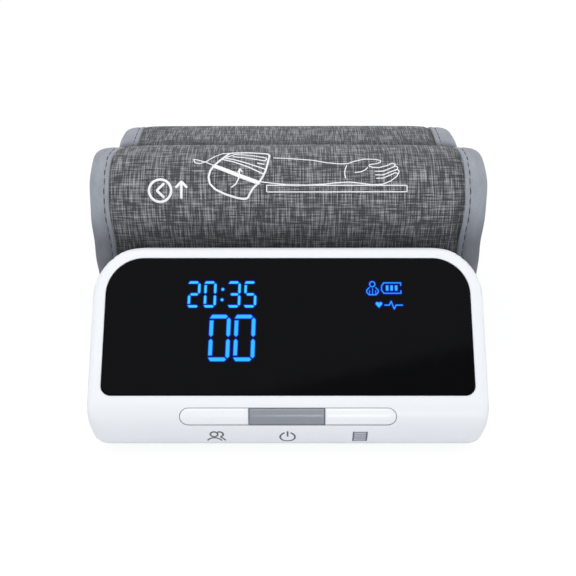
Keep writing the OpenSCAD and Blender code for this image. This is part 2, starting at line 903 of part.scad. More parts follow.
start = [mount_y, bracket_z];
upper_line = line(start, 90, upper_moves);
lower_line = line(start, -90, lower_moves);
main_line = concat(backwards(lower_line), tail(upper_line));
bladder_line = concat(backwards(line(start, -90, part_of(lower_moves, 2))),
  tail(line(start, 90, part_of(upper_moves, 7))));
loop_line = line([valley_end, inner_top_z], 0, [upper_moves[5], upper_moves[6]]);
hinge_low = [back_y, low_centre_z];
back_lap_line = backwards(line(hinge_low, 90, back_lap_moves));
tip_from = bent(after(hinge_low, 90, back_lap_moves[0]), 90, mid_top_r, fold_at + fold_turn);
tip_lap_line = backwards(line(tip_from, 90 + fold_at + fold_turn, tip_lap_moves));

// Y-Z outline of a layer, between two distances out from the middle line.
module layer(l, low, high) {
  polygon(concat(
    [for (q = l) q[0] + high * aim(q[1] + 90)],
    [for (i = [len(l) - 1:-1:0]) l[i][0] + low * aim(l[i][1] + 90)]));
}

// A layer from side to side.
module strip(l, low, high, w) {
  across(w) layer(l, low, high);
}

seam_w = cuff_w - 2 * tape_w;                // full-thickness width between the tapes
tape_out = half_t - tape_sink;
tape_in = tape_out - tape_t;

// Cloth with its edges pressed thin under the binding tape.
module cloth(l, low, high) {
  strip(l, low, high, seam_w);
  strip(l, max(low, -tape_in), min(high, tape_in), cuff_w - 2 * tape_t);
}

// Binding tape folded over both long edges of a stretch of the band.
module edge_tapes(l) {
  both_sides() {
    translate([cuff_w / 2 - tape_w / 2, 0, 0]) {
      strip(l, tape_in, tape_out, tape_w);
      strip(l, -tape_out, -tape_in, tape_w);
    }
    translate([cuff_w / 2 - tape_t / 2, 0, 0]) strip(l, -tape_out, tape_out, tape_t);
  }
}

// Binding tape folded over an end of the band: p and h are the place and heading there.
module end_tape(p, h, w) {
  translate([0, p[0], p[1]])
    rotate([h, 0, 0]) {
      block(w, [0, tape_t], [-tape_out, tape_out]);
    }
}

module cuff_outer_cloth() {
  color("#74767b") placed()
    difference() {
      cloth(main_line, core_at, half_t);
      cuff_holes();
    }
}

module cuff_core_sheet() {
  color("#d9dadc") placed()
    difference() {
      strip(main_line, bladder_at, core_at, seam_w);
      cuff_holes();
      at_rivets() rod_y(0, mount_y - core_at, 0, rivet_head_r + 0.05, core_t + 1);
    }
}

module cuff_bladder() {
  color("#3c3e42") placed()
    difference() {
      strip(bladder_line, liner_at, bladder_at, bladder_w);
      rod_y(0, mount_y - bladder_at - 0.1, nozzle_z, nozzle_flange_r + 0.05, 0.9);
    }
}

module cuff_liner() {
  color("#6a6c71") placed() cloth(main_line, -half_t, liner_at);
}

module cuff_binding() {
  last = upper_line[len(upper_line) - 1];
  color("#9ba0aa") placed() {
    edge_tapes(main_line);
    end_tape(last[0], last[1], cuff_w);
  }
}

bladder_in = 13;                             // bladder's edge in from the cuff's
bladder_w = cuff_w - 2 * bladder_in;
rivet_at = [22, 11];                         // from the middle of the bracket
rivet_r = 2;
rivet_head_r = 4;
nozzle_flange_r = 6;

// Holes for the nozzle and the rivets through the cloth and the core.
module cuff_holes() {
  rod_y(0, 0, nozzle_z, nozzle_r + 0.1, mount_y);
  at_rivets() rod_y(0, 0, 0, rivet_r + 0.05, mount_y);
}

module at_rivets() {
  for (x = [-1, 1], z = [-1, 1])
    translate([x * rivet_at[0], 0, bracket_z + z * rivet_at[1]]) children();
}

module loop_patch() {
  color("#5f6166") placed()
    strip(loop_line, half_t, half_t + fastening_t, bladder_w);
}

module back_lap_cloth() {
  color("#74767b") placed() cloth(back_lap_line, core_at, half_t);
}

module back_lap_core() {
  color("#d9dadc") placed() strip(back_lap_line, bladder_at, core_at, seam_w);
}

module back_lap_liner() {
  color("#6a6c71") placed() lap_liner(back_lap_line);
}

// A lap has no bladder, so its padded liner lies straight on the core.
module lap_liner(l) {
  cloth(l, -half_t, bladder_at);
}

module back_lap_binding() {
  color("#9ba0aa") placed() edge_tapes(back_lap_line);
}

module tip_lap_cloth() {
  color("#74767b") placed() cloth(tip_lap_line, core_at, half_t);
}

module tip_lap_core() {
  color("#d9dadc") placed() strip(tip_lap_line, bladder_at, core_at, seam_w);
}

module tip_lap_liner() {
  color("#6a6c71") placed() lap_liner(tip_lap_line);
}

module tip_lap_binding() {
  tip = tip_lap_line[0];
  color("#9ba0aa") placed() {
    edge_tapes(tip_lap_line);
    end_tape(tip[0], tip[1] + 180, cuff_w);
  }
}

module hook_patch() {
  color("#55575c") placed()
    strip(tip_lap_line, -half_t - fastening_t, -half_t, bladder_w);
}

// ---- Where the cuff meets the housing -------------------------------------------------------

module cuff_bracket() {
  color("#c9ccd2") placed()
    difference() {
      block(bracket_w, [housing_d, housing_d + bracket_t],
        [bracket_z - bracket_h / 2, bracket_z + bracket_h / 2]);
      rod_y(0, 0, nozzle_z, nozzle_r + 0.1, far);
      at_rivets() rod_y(0, housing_d + 0.8, 0, rivet_r + 0.02, bracket_t);
      for (x = [-1, 1], z = [-1, 1])
        rod_y(x * bracket_screw_at[0], 0, bracket_z + z * bracket_screw_at[1],
          pilot_r, housing_d + bracket_t - 0.6);
    }
}

module bracket_screws() {
  color("silver") placed()
    for (x = [-1, 1], z = [-1, 1])
      translate([x * bracket_screw_at[0], housing_d - wall, bracket_z + z * bracket_screw_at[1]])
        rotate([90, 0, 0]) screw(shaft_r, wall + bracket_t - 0.9, 2.2, 1.3);
}

module cuff_rivets() {
  color("silver") placed()
    at_rivets() {
      rod_y(0, mount_y - core_at, 0, rivet_head_r, core_t);
      rod_y(0, housing_d + 1, 0, rivet_r, mount_y - core_at - housing_d - 1 + 0.1);
    }
}

module cuff_nozzle() {
  color("#e4e6ea") placed()
    difference() {
      union() {
        rod_y(0, mount_y - bladder_at, nozzle_z, nozzle_flange_r, 0.8);
        rod_y(0, manifold_y[1] - 4.5, nozzle_z, nozzle_r, mount_y - bladder_at - manifold_y[1] + 4.6);
      }
      rod_y(0, 0, nozzle_z, nozzle_r - 1.1, far);
    }
}

module nozzle_o_ring() {
  color("#202022") placed()
    translate([0, manifold_y[1] - 0.72, nozzle_z])
      rotate([90, 0, 0])
        rotate_extrude() translate([nozzle_r + 0.75, 0]) circle(r = 0.7);
}

front_housing();
rear_cover();
base_cover();
display_window();
display_light_frame();
digit_light_guides();
main_board();
board_screws();
pressure_sensor();
buzzer();
user_key();
power_key();
memory_key();
user_switch_plunger();
power_switch_plunger();
memory_switch_plunger();
key_switches();
key_board();
key_board_screws();
pump_motor();
pump_head();
pump_sleeve();
release_valve();
air_manifold();
pump_hose();
sensor_hose();
valve_hose();
battery_cell();
charge_board();
charging_socket();
rubber_feet();
base_screws();
rear_screws();
bracket_screws();
cuff_bracket();
cuff_rivets();
cuff_nozzle();
nozzle_o_ring();
cuff_outer_cloth();
cuff_core_sheet();
cuff_bladder();
cuff_liner();
cuff_binding();
loop_patch();
back_lap_cloth();
back_lap_core();
back_lap_liner();
back_lap_binding();
tip_lap_cloth();
tip_lap_core();
tip_lap_liner();
tip_lap_binding();
hook_patch();
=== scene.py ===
# A desk blood pressure monitor fixed to its pre-formed wrap cuff.
# Sizes are in millimetres, with Y from the housing's front edge, until a mesh is made.
import bpy
import json
import math
import numpy as np
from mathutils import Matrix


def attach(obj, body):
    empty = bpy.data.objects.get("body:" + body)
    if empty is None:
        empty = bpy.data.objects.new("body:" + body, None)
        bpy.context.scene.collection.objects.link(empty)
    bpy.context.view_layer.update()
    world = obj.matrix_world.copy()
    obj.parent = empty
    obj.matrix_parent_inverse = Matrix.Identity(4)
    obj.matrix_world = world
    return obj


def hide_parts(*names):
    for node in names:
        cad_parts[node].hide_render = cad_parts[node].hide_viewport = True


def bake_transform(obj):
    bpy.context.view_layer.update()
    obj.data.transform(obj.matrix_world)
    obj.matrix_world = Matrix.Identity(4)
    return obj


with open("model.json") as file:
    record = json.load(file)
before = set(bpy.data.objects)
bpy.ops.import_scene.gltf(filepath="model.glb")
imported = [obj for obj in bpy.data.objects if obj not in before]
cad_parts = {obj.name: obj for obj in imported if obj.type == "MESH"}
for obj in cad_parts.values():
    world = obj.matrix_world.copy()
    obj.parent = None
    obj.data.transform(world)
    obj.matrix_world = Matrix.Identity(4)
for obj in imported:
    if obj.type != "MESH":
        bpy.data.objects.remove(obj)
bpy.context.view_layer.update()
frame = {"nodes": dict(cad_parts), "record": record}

WHOLE_DEPTH = 149.0
METRE = 0.001
FAR = 1e9

# ---- Short ways to add things ---------------------------------------------------------------


class Nodes:
    """Short ways to add nodes to one tree and join them."""

    def __init__(self, tree):
        self.tree = tree

    def put(self, target, value):
        if isinstance(value, bpy.types.NodeSocket):
            self.tree.links.new(value, target)
        elif value is not None:
            if target.type == "RGBA" and len(value) == 3:
                value = (*value, 1)
            target.default_value = value

    def add(self, kind, inputs=None, **settings):
        node = self.tree.nodes.new(kind)
        for key, value in settings.items():
            setattr(node, key, value)
        for key, value in (inputs or {}).items():
            self.put(node.inputs[key], value)
        return node

    def maths(self, operation, a, b=None, c=None, clamp=False):
        node = self.add("ShaderNodeMath", operation=operation, use_clamp=clamp)
        for i, value in enumerate((a, b, c)):
            if value is not None:
                self.put(node.inputs[i], value)
        return node.outputs[0]

    def times(self, a, b):
        return self.maths("MULTIPLY", a, b)

    def plus(self, a, b, clamp=False):
        return self.maths("ADD", a, b, clamp=clamp)

    def ratio(self, a, b):
        return self.maths("DIVIDE", a, b)

    def rest(self, a):
        """What is left of 1."""
        return self.maths("SUBTRACT", 1.0, a)

    def humps(self, a):
        """Round humps side by side, each as wide as pi."""
        return self.maths("ABSOLUTE", self.maths("SINE", a))

    def noise(self, vector, scale, detail=2.0, roughness=0.5):
        node = self.add("ShaderNodeTexNoise", {"Vector": vector, "Scale": scale,
                        "Detail": detail, "Roughness": roughness})
        return node.outputs["Fac"]

    def range(self, value, low, high, to_low=0.0, to_high=1.0):
        node = self.add("ShaderNodeMapRange", {"Value": value, "From Min": low,
                        "From Max": high, "To Min": to_low, "To Max": to_high})
        return node.outputs["Result"]

    def mix(self, share, a, b, blend="MIX"):
        node = self.add("ShaderNodeMix", data_type="RGBA", blend_type=blend)
        for place, value in (("Factor", share), (6, a), (7, b)):
            self.put(node.inputs[place], value)
        return node.outputs[2]

    def vector(self, x, y, z=0.0):
        return self.add("ShaderNodeCombineXYZ", {"X": x, "Y": y, "Z": z}).outputs[0]

    def tint(self, colour, level):
        """A colour made darker or lighter by a level, where 1 leaves it as it is."""
        return self.mix(1.0, colour, self.vector(level, level, level), "MULTIPLY")

    def split(self, vector):
        return self.add("ShaderNodeSeparateXYZ", {"Vector": vector}).outputs

    def stored(self, label, kind="Fac"):
        """A value that the mesh keeps at each of its points."""
        return self.add("ShaderNodeAttribute", attribute_name=label).outputs[kind]


def new_finish(name, shader_kind="ShaderNodeBsdfPrincipled"):
    """A material with only a shader and its output, and short ways to fill it."""
    finish = bpy.data.materials.new(name)
    finish.use_nodes = True
    finish.node_tree.nodes.clear()
    n = Nodes(finish.node_tree)
    shader = n.add(shader_kind)
    n.add("ShaderNodeOutputMaterial", {"Surface": shader.outputs[0]})
    return finish, n, shader


def add_object(name, data):
    made = bpy.data.objects.new(name, data)
    bpy.context.scene.collection.objects.link(made)
    return made


# ---- Camera, lamps and floor ----------------------------------------------------------------

CAMERA_PLACE = (0, -0.2746, 0.2150)
CAMERA_TILT = math.radians(55)
FLOOR_REACH = 4.0
WHITE = (1, 1, 1)


def add_camera():
    data = bpy.data.cameras.new("camera")
    data.lens = 50
    data.sensor_width = 36
    data.clip_start = 0.01
    camera = add_object("camera", data)
    camera.location = CAMERA_PLACE
    camera.rotation_euler = (CAMERA_TILT, 0, 0)
    bpy.context.scene.camera = camera


def add_softbox(name, place, turn, size, watts, tilt=0):
    """A softbox over the table: turned about its middle if level, or tilted to face it."""
    data = bpy.data.lights.new(name, "AREA")
    data.shape = "RECTANGLE"
    data.size, data.size_y = size
    data.energy = watts
    lamp = add_object(name, data)
    lamp.location = place
    lamp.rotation_euler = (math.radians(tilt), 0, math.radians(turn))


def add_world():
    """Soft light from all round, where the camera, gloss and glass see plain white instead."""
    world = bpy.data.worlds.new("studio")
    bpy.context.scene.world = world
    world.use_nodes = True
    world.node_tree.nodes.clear()
    n = Nodes(world.node_tree)
    lighting = n.add("ShaderNodeBackground", {"Color": (0.96, 0.98, 1.0), "Strength": 0.62})
    seen = n.add("ShaderNodeBackground", {"Color": WHITE, "Strength": 1.0})
    path = n.add("ShaderNodeLightPath").outputs
    either = n.maths("MAXIMUM", path["Is Camera Ray"], path["Is Glossy Ray"])
    any_of = n.maths("MAXIMUM", either, path["Is Transmission Ray"])
    mix = n.add("ShaderNodeMixShader",
                {"Fac": any_of, 1: lighting.outputs[0], 2: seen.outputs[0]})
    n.add("ShaderNodeOutputWorld", {"Surface": mix.outputs[0]})


def add_floor():
    """A floor that the camera sees as near white, with the object's shadow kept."""
    r = FLOOR_REACH
    mesh = bpy.data.meshes.new("floor")
    mesh.from_pydata([(-r, -r, 0), (r, -r, 0), (r, r, 0), (-r, r, 0)], [], [(0, 1, 2, 3)])
    finish, n, mix = new_finish("floor white", "ShaderNodeMixShader")
    lit = n.add("ShaderNodeBsdfDiffuse", {"Color": (0.86, 0.87, 0.88)})
    glow = n.add("ShaderNodeEmission", {"Color": WHITE, "Strength": 1.06})
    share = n.times(n.add("ShaderNodeLightPath").outputs["Is Camera Ray"], 0.85)
    for place, value in (("Fac", share), (1, lit.outputs[0]), (2, glow.outputs[0])):
        n.put(mix.inputs[place], value)
    mesh.materials.append(finish)
    add_object("floor", mesh)


bpy.context.scene.view_settings.view_transform = "Standard"
add_camera()
add_world()
add_floor()
add_softbox("large softbox", (-0.069, -0.204, 0.95), 15.7, (1.1, 1.0), 4.6)
add_softbox("front strip", (0.17, -1.2, 0.46), 0, (0.42, 0.07), 1.1, tilt=72)

# ---- Finishes -------------------------------------------------------------------------------


def new_group(name, inputs, outputs):
    group = bpy.data.node_groups.new(name, "ShaderNodeTree")
    for label, kind, value in inputs:
        socket = group.interface.new_socket(label, in_out="INPUT", socket_type="NodeSocket" + kind)
        if value is not None:
            socket.default_value = value
    for label, kind in outputs:
        group.interface.new_socket(label, in_out="OUTPUT", socket_type="NodeSocket" + kind)
    return group, Nodes(group)


def moulded_group():
    """Moulded or painted surface: fine grain, faint flow marks, dust-dull patches."""
    group, n = new_group("moulded surface",
        [("Colour", "Color", (0.8, 0.8, 0.8, 1)), ("Roughness", "Float", 0.4),
         ("Grain", "Float", 2500.0), ("Tone", "Float", 0.03), ("Wear", "Float", 0.06)],
        [("Colour", "Color"), ("Roughness", "Float"), ("Height", "Float")])
    given = n.add("NodeGroupInput").outputs
    place = n.add("ShaderNodeTexCoord").outputs["Object"]
    grain = n.noise(place, given["Grain"], 2.0)
    flow = n.noise(place, 38.0, 3.0, 0.6)
    patch = n.noise(place, 120.0, 3.0, 0.55)
    tone = n.times(n.range(flow, 0.3, 0.7, -1.0, 1.0), given["Tone"])
    shade = n.plus(tone, 1.0)
    rough = n.maths("MULTIPLY_ADD", n.range(patch, 0.35, 0.7, -0.5, 1.0), given["Wear"],
                    given["Roughness"])
    n.add("NodeGroupOutput", {"Colour": n.tint(given["Colour"], shade), "Roughness": rough,
                              "Height": grain})
    return group


WARP_SHARE, WEFT_SHARE, TOP_THREAD_SHARE = 0.5, 0.36, 0.14
CLOUD_SHARE, CLOUD_SIZE = 0.07, 9.0
DARKEST_THREAD = 0.14


def weave_group():
    """Melange plain weave: light and dark slubs in the warp and in the weft, darkened by painted
    shade.
    """
    group, n = new_group("melange weave",
        [("Place", "Vector", None), ("Pitch", "Float", 0.55),
         ("Dark", "Color", (0.02, 0.02, 0.02, 1)), ("Light", "Color", (0.3, 0.3, 0.3, 1)),
         ("Contrast", "Float", 1.0), ("Slub", "Float", 3.2), ("Painted_shade", "Float", 0.0)],
        [("Colour", "Color"), ("Height", "Float"), ("Roughness", "Float")])
    given = n.add("NodeGroupInput").outputs
    split = n.split(given["Place"])
    x, y, pitch, slub = split[0], split[1], given["Pitch"], given["Slub"]
    across, along = n.ratio(x, pitch), n.ratio(y, pitch)
    warp_row, weft_row = n.maths("FLOOR", across), n.maths("FLOOR", along)
    warp = n.noise(n.vector(n.times(warp_row, 7.31), n.ratio(y, slub), 0.0), 1.0, 0.0)
    weft = n.noise(n.vector(n.ratio(x, slub), n.times(weft_row, 5.17), 9.0), 1.0, 0.0)
    odd = n.maths("MODULO", n.maths("ABSOLUTE", n.plus(warp_row, weft_row)), 2.0)
    over = n.maths("GREATER_THAN", odd, 0.5)
    chosen = n.plus(n.times(warp, over), n.times(weft, n.rest(over)))
    both = n.plus(n.times(warp, WARP_SHARE), n.times(weft, WEFT_SHARE))
    thread = n.plus(both, n.times(chosen, TOP_THREAD_SHARE))
    cloud = n.noise(n.vector(n.ratio(x, CLOUD_SIZE), n.ratio(y, CLOUD_SIZE)), 1.0, 2.0)
    mixed = n.plus(n.times(thread, 1 - CLOUD_SHARE), n.times(cloud, CLOUD_SHARE))
    spread = n.times(n.maths("SUBTRACT", mixed, 0.5), given["Contrast"])
    level = n.plus(n.times(spread, 3.4), 0.35, clamp=True)
    level = n.maths("MAXIMUM", level, DARKEST_THREAD)
    hump = n.times(n.humps(n.times(across, math.pi / 2)), n.humps(n.times(along, math.pi / 2)))
    groove = n.range(hump, 0.0, 0.6, 0.5, 1.14)
    # Painted shade: the stored shade value darkens the weave's colour, on top of the darker grooves
    # between threads.
    kept = n.times(groove, n.rest(given["Painted_shade"]))
    n.add("NodeGroupOutput", {
        "Colour": n.tint(n.mix(level, given["Dark"], given["Light"]), kept),
        "Height": n.plus(hump, n.times(thread, 0.5)),
        "Roughness": n.range(level, 0.0, 1.0, 0.95, 0.82)})
    return group


def metal_group():
    """Drawn or turned metal: fine streaks with a few dull marks."""
    group, n = new_group("drawn metal",
        [("Colour", "Color", (0.7, 0.7, 0.7, 1)), ("Roughness", "Float", 0.3)],
        [("Colour", "Color"), ("Roughness", "Float"), ("Height", "Float")])
    given = n.add("NodeGroupInput").outputs
    place = n.add("ShaderNodeTexCoord").outputs["Object"]
    split = n.split(place)
    stretched = n.vector(n.times(split[0], 150.0), n.times(split[1], 6000.0),
                         n.times(split[2], 6000.0))
    streak = n.noise(stretched, 1.0, 2.0)
    mark = n.noise(place, 400.0, 3.0)
    n.add("NodeGroupOutput", {
        "Colour": n.tint(given["Colour"], n.range(streak, 0.3, 0.7, 0.9, 1.05)),
        "Roughness": n.plus(given["Roughness"], n.range(mark, 0.4, 0.8, 0.0, 0.15)),
        "Height": streak})
    return group


MOULDED, WEAVE, DRAWN = moulded_group(), weave_group(), metal_group()


def raise_surface(n, shader, height, strength, distance):
    bump = n.add("ShaderNodeBump", {"Height": height, "Strength": strength, "Distance": distance})
    n.put(shader.inputs["Normal"], bump.outputs[0])


def feed(n, shader, group, values):
    """Gives a shader the colour and roughness of a group, and hands back its height."""
    made = n.add("ShaderNodeGroup", values, node_tree=group).outputs
    n.put(shader.inputs["Base Color"], made["Colour"])
    n.put(shader.inputs["Roughness"], made["Roughness"])
    return made["Height"]


def set_plain(shader, values):
    """Numbers that are the same all over, on the shader's own sockets."""
    for label, value in values.items():
        shader.inputs[label].default_value = value


def moulded(name, colour, roughness, grain, tone, wear, relief, specular=0.5, coat=0.0):
    finish, n, shader = new_finish(name)
    height = feed(n, shader, MOULDED, {"Colour": colour, "Roughness": roughness, "Grain": grain,
                                       "Tone": tone, "Wear": wear})
    set_plain(shader, {"Specular IOR Level": specular, "Coat Weight": coat,
                       "Coat Roughness": 0.08})
    raise_surface(n, shader, height, relief, 0.00005)
    return finish


def metal(name, colour, roughness):
    finish, n, shader = new_finish(name)
    height = feed(n, shader, DRAWN, {"Colour": colour, "Roughness": roughness})
    set_plain(shader, {"Metallic": 1.0})
    raise_surface(n, shader, height, 0.15, 0.00003)
    return finish


def woven(name, dark, light, pitch, contrast, slub=3.2, relief=0.6, sheen=0.15):
    finish, n, shader = new_finish(name)
    # The finish reads the painted shade stored at each point of the piece.
    height = feed(n, shader, WEAVE, {
        "Place": n.stored("cloth_place", "Vector"), "Pitch": pitch, "Dark": dark, "Light": light,
        "Contrast": contrast, "Slub": slub, "Painted_shade": n.stored("painted_shade")})
    set_plain(shader, {"Specular IOR Level": 0.25, "Sheen Weight": sheen, "Sheen Roughness": 0.6})
    raise_surface(n, shader, height, relief, 0.00018)
    return finish


def taped(name, colour):
    """Ribbed binding tape: fine ribs across, a few lighter fibres, soft stains of tone, and painted
    shade.
    """
    finish, n, shader = new_finish(name)
    across, along = n.split(n.stored("cloth_place", "Vector"))[:2]
    rib = n.humps(n.times(along, math.pi / 0.42))
    fibre = n.noise(n.vector(n.times(across, 1.1), n.times(along, 4.0)), 1.0, 3.0)
    soft = n.noise(n.vector(n.times(across, 0.22), n.times(along, 0.1)), 1.0, 2.0)
    level = n.plus(n.range(fibre, 0.3, 0.7, 0.86, 1.08), n.range(soft, 0.3, 0.7, -0.1, 0.1))
    level = n.times(level, n.range(rib, 0.0, 0.6, 0.93, 1.0))
    # Painted shade: the tape is drawn darker where the painted shade stored on it is high.
    level = n.times(level, n.rest(n.stored("painted_shade")))
    n.put(shader.inputs["Base Color"], n.tint(colour, level))
    n.put(shader.inputs["Roughness"], n.range(fibre, 0.3, 0.7, 0.78, 0.62))
    set_plain(shader, {"Specular IOR Level": 0.3, "Sheen Weight": 0.12})
    raise_surface(n, shader, n.plus(rib, fibre), 0.3, 0.00008)
    return finish


def pile(name, colour, size):
    """Short pile of a hook or loop fastening."""
    finish, n, shader = new_finish(name)
    cell = n.add("ShaderNodeTexVoronoi", {"Vector": n.stored("cloth_place", "Vector"),
                                          "Scale": 1.0 / size})
    tuft = n.range(cell.outputs["Distance"], 0.0, 0.6, 1.25, 0.5)
    n.put(shader.inputs["Base Color"], n.tint(colour, tuft))
    n.put(shader.inputs["Roughness"], n.range(tuft, 0.5, 1.25, 0.98, 0.85))
    set_plain(shader, {"Specular IOR Level": 0.2, "Sheen Weight": 0.3})
    raise_surface(n, shader, tuft, 0.9, 0.0003)
    return finish


PANEL_BLACK = (0.0012, 0.0013, 0.0021)
PANEL_GLOSS = 0.035
GLOW_STOPS = [(0.0, (0, 0, 0)), (0.26, (0.0, 0.0, 0.012)), (0.40, (0.0, 0.0, 0.22)),
              (0.49, (0.0, 0.012, 0.62)), (0.60, (0.018, 0.32, 1.0)), (0.74, (0.036, 0.53, 1.0))]


def lit_panel(name):
    """The black window's face where figures glow through: dark glass with blue light."""
    finish, n, shader = new_finish(name)
    ramp = n.add("ShaderNodeValToRGB", {"Fac": n.stored("glow")})
    while len(ramp.color_ramp.elements) < len(GLOW_STOPS):
        ramp.color_ramp.elements.new(1.0)
    for element, (at, colour) in zip(ramp.color_ramp.elements, GLOW_STOPS):
        element.position = at
        element.color = (*colour, 1)
    glow = ramp.outputs["Color"]
    small = n.mix(1.0, glow, (1.4, 1.32, 1.0), "MULTIPLY")
    n.put(shader.inputs["Emission Color"], n.mix(n.stored("small"), glow, small))
    feed(n, shader, MOULDED, {"Colour": PANEL_BLACK, "Roughness": 0.07, "Grain": 300.0,
                              "Tone": 0.0, "Wear": 0.03})
    set_plain(shader, {"Emission Strength": 1.0, "Specular IOR Level": PANEL_GLOSS})
    return finish


HOUSING_WHITE = moulded("housing white plastic", (0.875, 0.892, 0.925), 0.3, 1800.0, 0.008, 0.05,
                        0.04)
COVER_WHITE = moulded("cover white plastic", (0.84, 0.85, 0.87), 0.42, 1500.0, 0.012, 0.06, 0.1)
KEY_WHITE = moulded("white key plastic", (0.91, 0.925, 0.95), 0.2, 1800.0, 0.006, 0.01, 0.03)
KEY_GREY = moulded("grey key plastic", (0.265, 0.285, 0.32), 0.17, 2200.0, 0.02, 0.01, 0.05)
WINDOW_BLACK = moulded("black window panel", PANEL_BLACK, 0.07, 300.0, 0.0, 0.03, 0.0, PANEL_GLOSS)
LIT = lit_panel("lit window figures")
PRINT_GREY = moulded("grey key print", (0.115, 0.12, 0.14), 0.45, 2600.0, 0.06, 0.05, 0.1)
PRINT_PALE = moulded("pale grey key print", (0.3, 0.31, 0.35), 0.45, 2600.0, 0.06, 0.05, 0.1)
CLOTH = woven("grey melange cloth", (0.024, 0.025, 0.028), (0.385, 0.393, 0.41), 0.42, 1.0, 6.0)
LINER = woven("brushed grey liner", (0.05, 0.052, 0.06), (0.2, 0.205, 0.22), 0.4, 0.7, 1.6, 0.4,
              0.3)
HEM = woven("dark hem cloth", (0.01, 0.0105, 0.012), (0.12, 0.122, 0.13), 0.5, 1.0)
TAPE = taped("grey binding tape", (0.335, 0.355, 0.40))
THREAD = moulded("dark sewing thread", (0.07, 0.073, 0.082), 0.8, 6000.0, 0.2, 0.05, 0.4, 0.3)
CLOTH_PRINT = moulded("white cloth print", (0.95, 0.955, 0.965), 0.7, 3000.0, 0.04, 0.05, 0.3,
                      0.3)
HOOK = pile("hook fastening", (0.05, 0.052, 0.058), 0.5)
LOOP = pile("loop fastening", (0.085, 0.088, 0.095), 0.35)
CORE = moulded("formed core sheet", (0.72, 0.73, 0.76), 0.5, 900.0, 0.04, 0.08, 0.2)
BLADDER = moulded("air bladder film", (0.06, 0.065, 0.075), 0.35, 700.0, 0.1, 0.1, 0.5)
SOFT_RUBBER = moulded("soft rubber", (0.03, 0.03, 0.033), 0.85, 3000.0, 0.08, 0.05, 0.5, 0.3)
FEET = moulded("grey rubber feet", (0.16, 0.17, 0.18), 0.8, 2600.0, 0.06, 0.06, 0.4, 0.35)
PART_BLACK = moulded("black moulding", (0.018, 0.018, 0.02), 0.45, 2000.0, 0.08, 0.08, 0.3)
SENSOR = moulded("sensor case", (0.82, 0.82, 0.78), 0.5, 1600.0, 0.03, 0.06, 0.15)
BOARD = moulded("green solder mask", (0.03, 0.2, 0.075), 0.35, 900.0, 0.15, 0.1, 0.25, coat=0.3)
HOSE = moulded("milky hose", (0.72, 0.74, 0.76), 0.5, 1200.0, 0.05, 0.06, 0.15)
FITTING = moulded("natural fittings", (0.7, 0.72, 0.75), 0.42, 1500.0, 0.04, 0.06, 0.15)
CELL_WRAP = moulded("cell wrap", (0.05, 0.16, 0.42), 0.25, 800.0, 0.08, 0.06, 0.1, coat=0.3)
STEEL = metal("bright steel", (0.66, 0.67, 0.68), 0.24)
GUIDE = moulded("blue light guide", (0.1, 0.45, 0.95), 0.2, 1200.0, 0.03, 0.04, 0.05)

SLOT_FINISH = {
    "housing_white": HOUSING_WHITE, "back_white": COVER_WHITE, "window_black": WINDOW_BLACK,
    "light_frame_black": PART_BLACK, "lit_blue": GUIDE, "circuit_board": BOARD, "steel": STEEL,
    "sensor_white": SENSOR, "part_black": PART_BLACK, "key_white": KEY_WHITE,
    "key_grey": KEY_GREY, "soft_rubber": SOFT_RUBBER, "feet_grey": FEET, "clear_hose": HOSE,
    "air_fittings": FITTING, "cell_wrap": CELL_WRAP, "cuff_cloth": CLOTH, "liner_cloth": LINER,
    "core_plastic": CORE, "binding_tape": TAPE, "fastening": LOOP,
}


def dress_carried_nodes():
    for entry in frame["record"]["subparts"]:
        node = frame["nodes"][entry["node"]]
        finish = SLOT_FINISH[entry["material_slot"]]
        if not node.material_slots:
            node.data.materials.append(None)
        for slot in node.material_slots:
            slot.material = finish


dress_carried_nodes()

# ---- Making meshes --------------------------------------------------------------------------


def metres(points):
    placed = np.array(points, float)
    placed[:, 1] -= WHOLE_DEPTH / 2
    return placed * METRE


def facing_out(points, faces):
    """Turns a closed mesh the right way: its volume comes out positive."""
    p = np.asarray(points, float)
    total = 0.0
    for face in faces:
        a = p[face[0]]
        for i in range(1, len(face) - 1):
            total += np.dot(a, np.cross(p[face[i]], p[face[i + 1]]))
    return [tuple(reversed(f)) for f in faces] if total < 0 else faces


def make_piece(name, points, faces, finish, sharp=None, values=None, closed=True):
    if closed:
        faces = facing_out(points, faces)
    mesh = bpy.data.meshes.new(name)
    mesh.from_pydata(metres(points).tolist(), [], faces)
    if finish:
        mesh.materials.append(finish)
    mesh.polygons.foreach_set("use_smooth", [True] * len(mesh.polygons))
    for label, data in (values or {}).items():
        data = np.asarray(data, np.float32)
        kind = "FLOAT_VECTOR" if data.ndim == 2 else "FLOAT"
        attribute = mesh.attributes.new(label, kind, "POINT")
        attribute.data.foreach_set("vector" if data.ndim == 2 else "value", data.ravel())
    mesh.update()
    if sharp:
        mesh.set_sharp_from_angle(angle=math.radians(sharp))
    return add_object(name, mesh)


def grid_faces(nx, ny):
    """Faces of a grid of points, and the points round its rim in order."""
    faces = [(i * ny + j, (i + 1) * ny + j, (i + 1) * ny + j + 1, i * ny + j + 1)
             for i in range(nx - 1) for j in range(ny - 1)]
    rim = ([i * ny for i in range(nx)] + [(nx - 1) * ny + j for j in range(1, ny)]
           + [i * ny + ny - 1 for i in range(nx - 2, -1, -1)] + list(range(ny - 2, 0, -1)))
    return faces, rim


def loft(rings):
    """Closed rings of points, one after another, with both ends filled."""
    rows, m = len(rings), len(rings[0])
    faces = [(i * m + j, i * m + (j + 1) % m, (i + 1) * m + (j + 1) % m, (i + 1) * m + j)
             for i in range(rows - 1) for j in range(m)]
    faces.append(tuple(range(m - 1, -1, -1)))
    faces.append(tuple((rows - 1) * m + j for j in range(m)))
    return np.concatenate(rings), faces


def prism(name, outline, to_space, low, high):
    """A flat outline drawn out between two depths, as a cutter."""
    rings = [np.array([to_space(a, b, depth) for a, b in outline]) for depth in (low, high)]
    points, faces = loft(rings)
    return make_piece(name, points, faces, None)


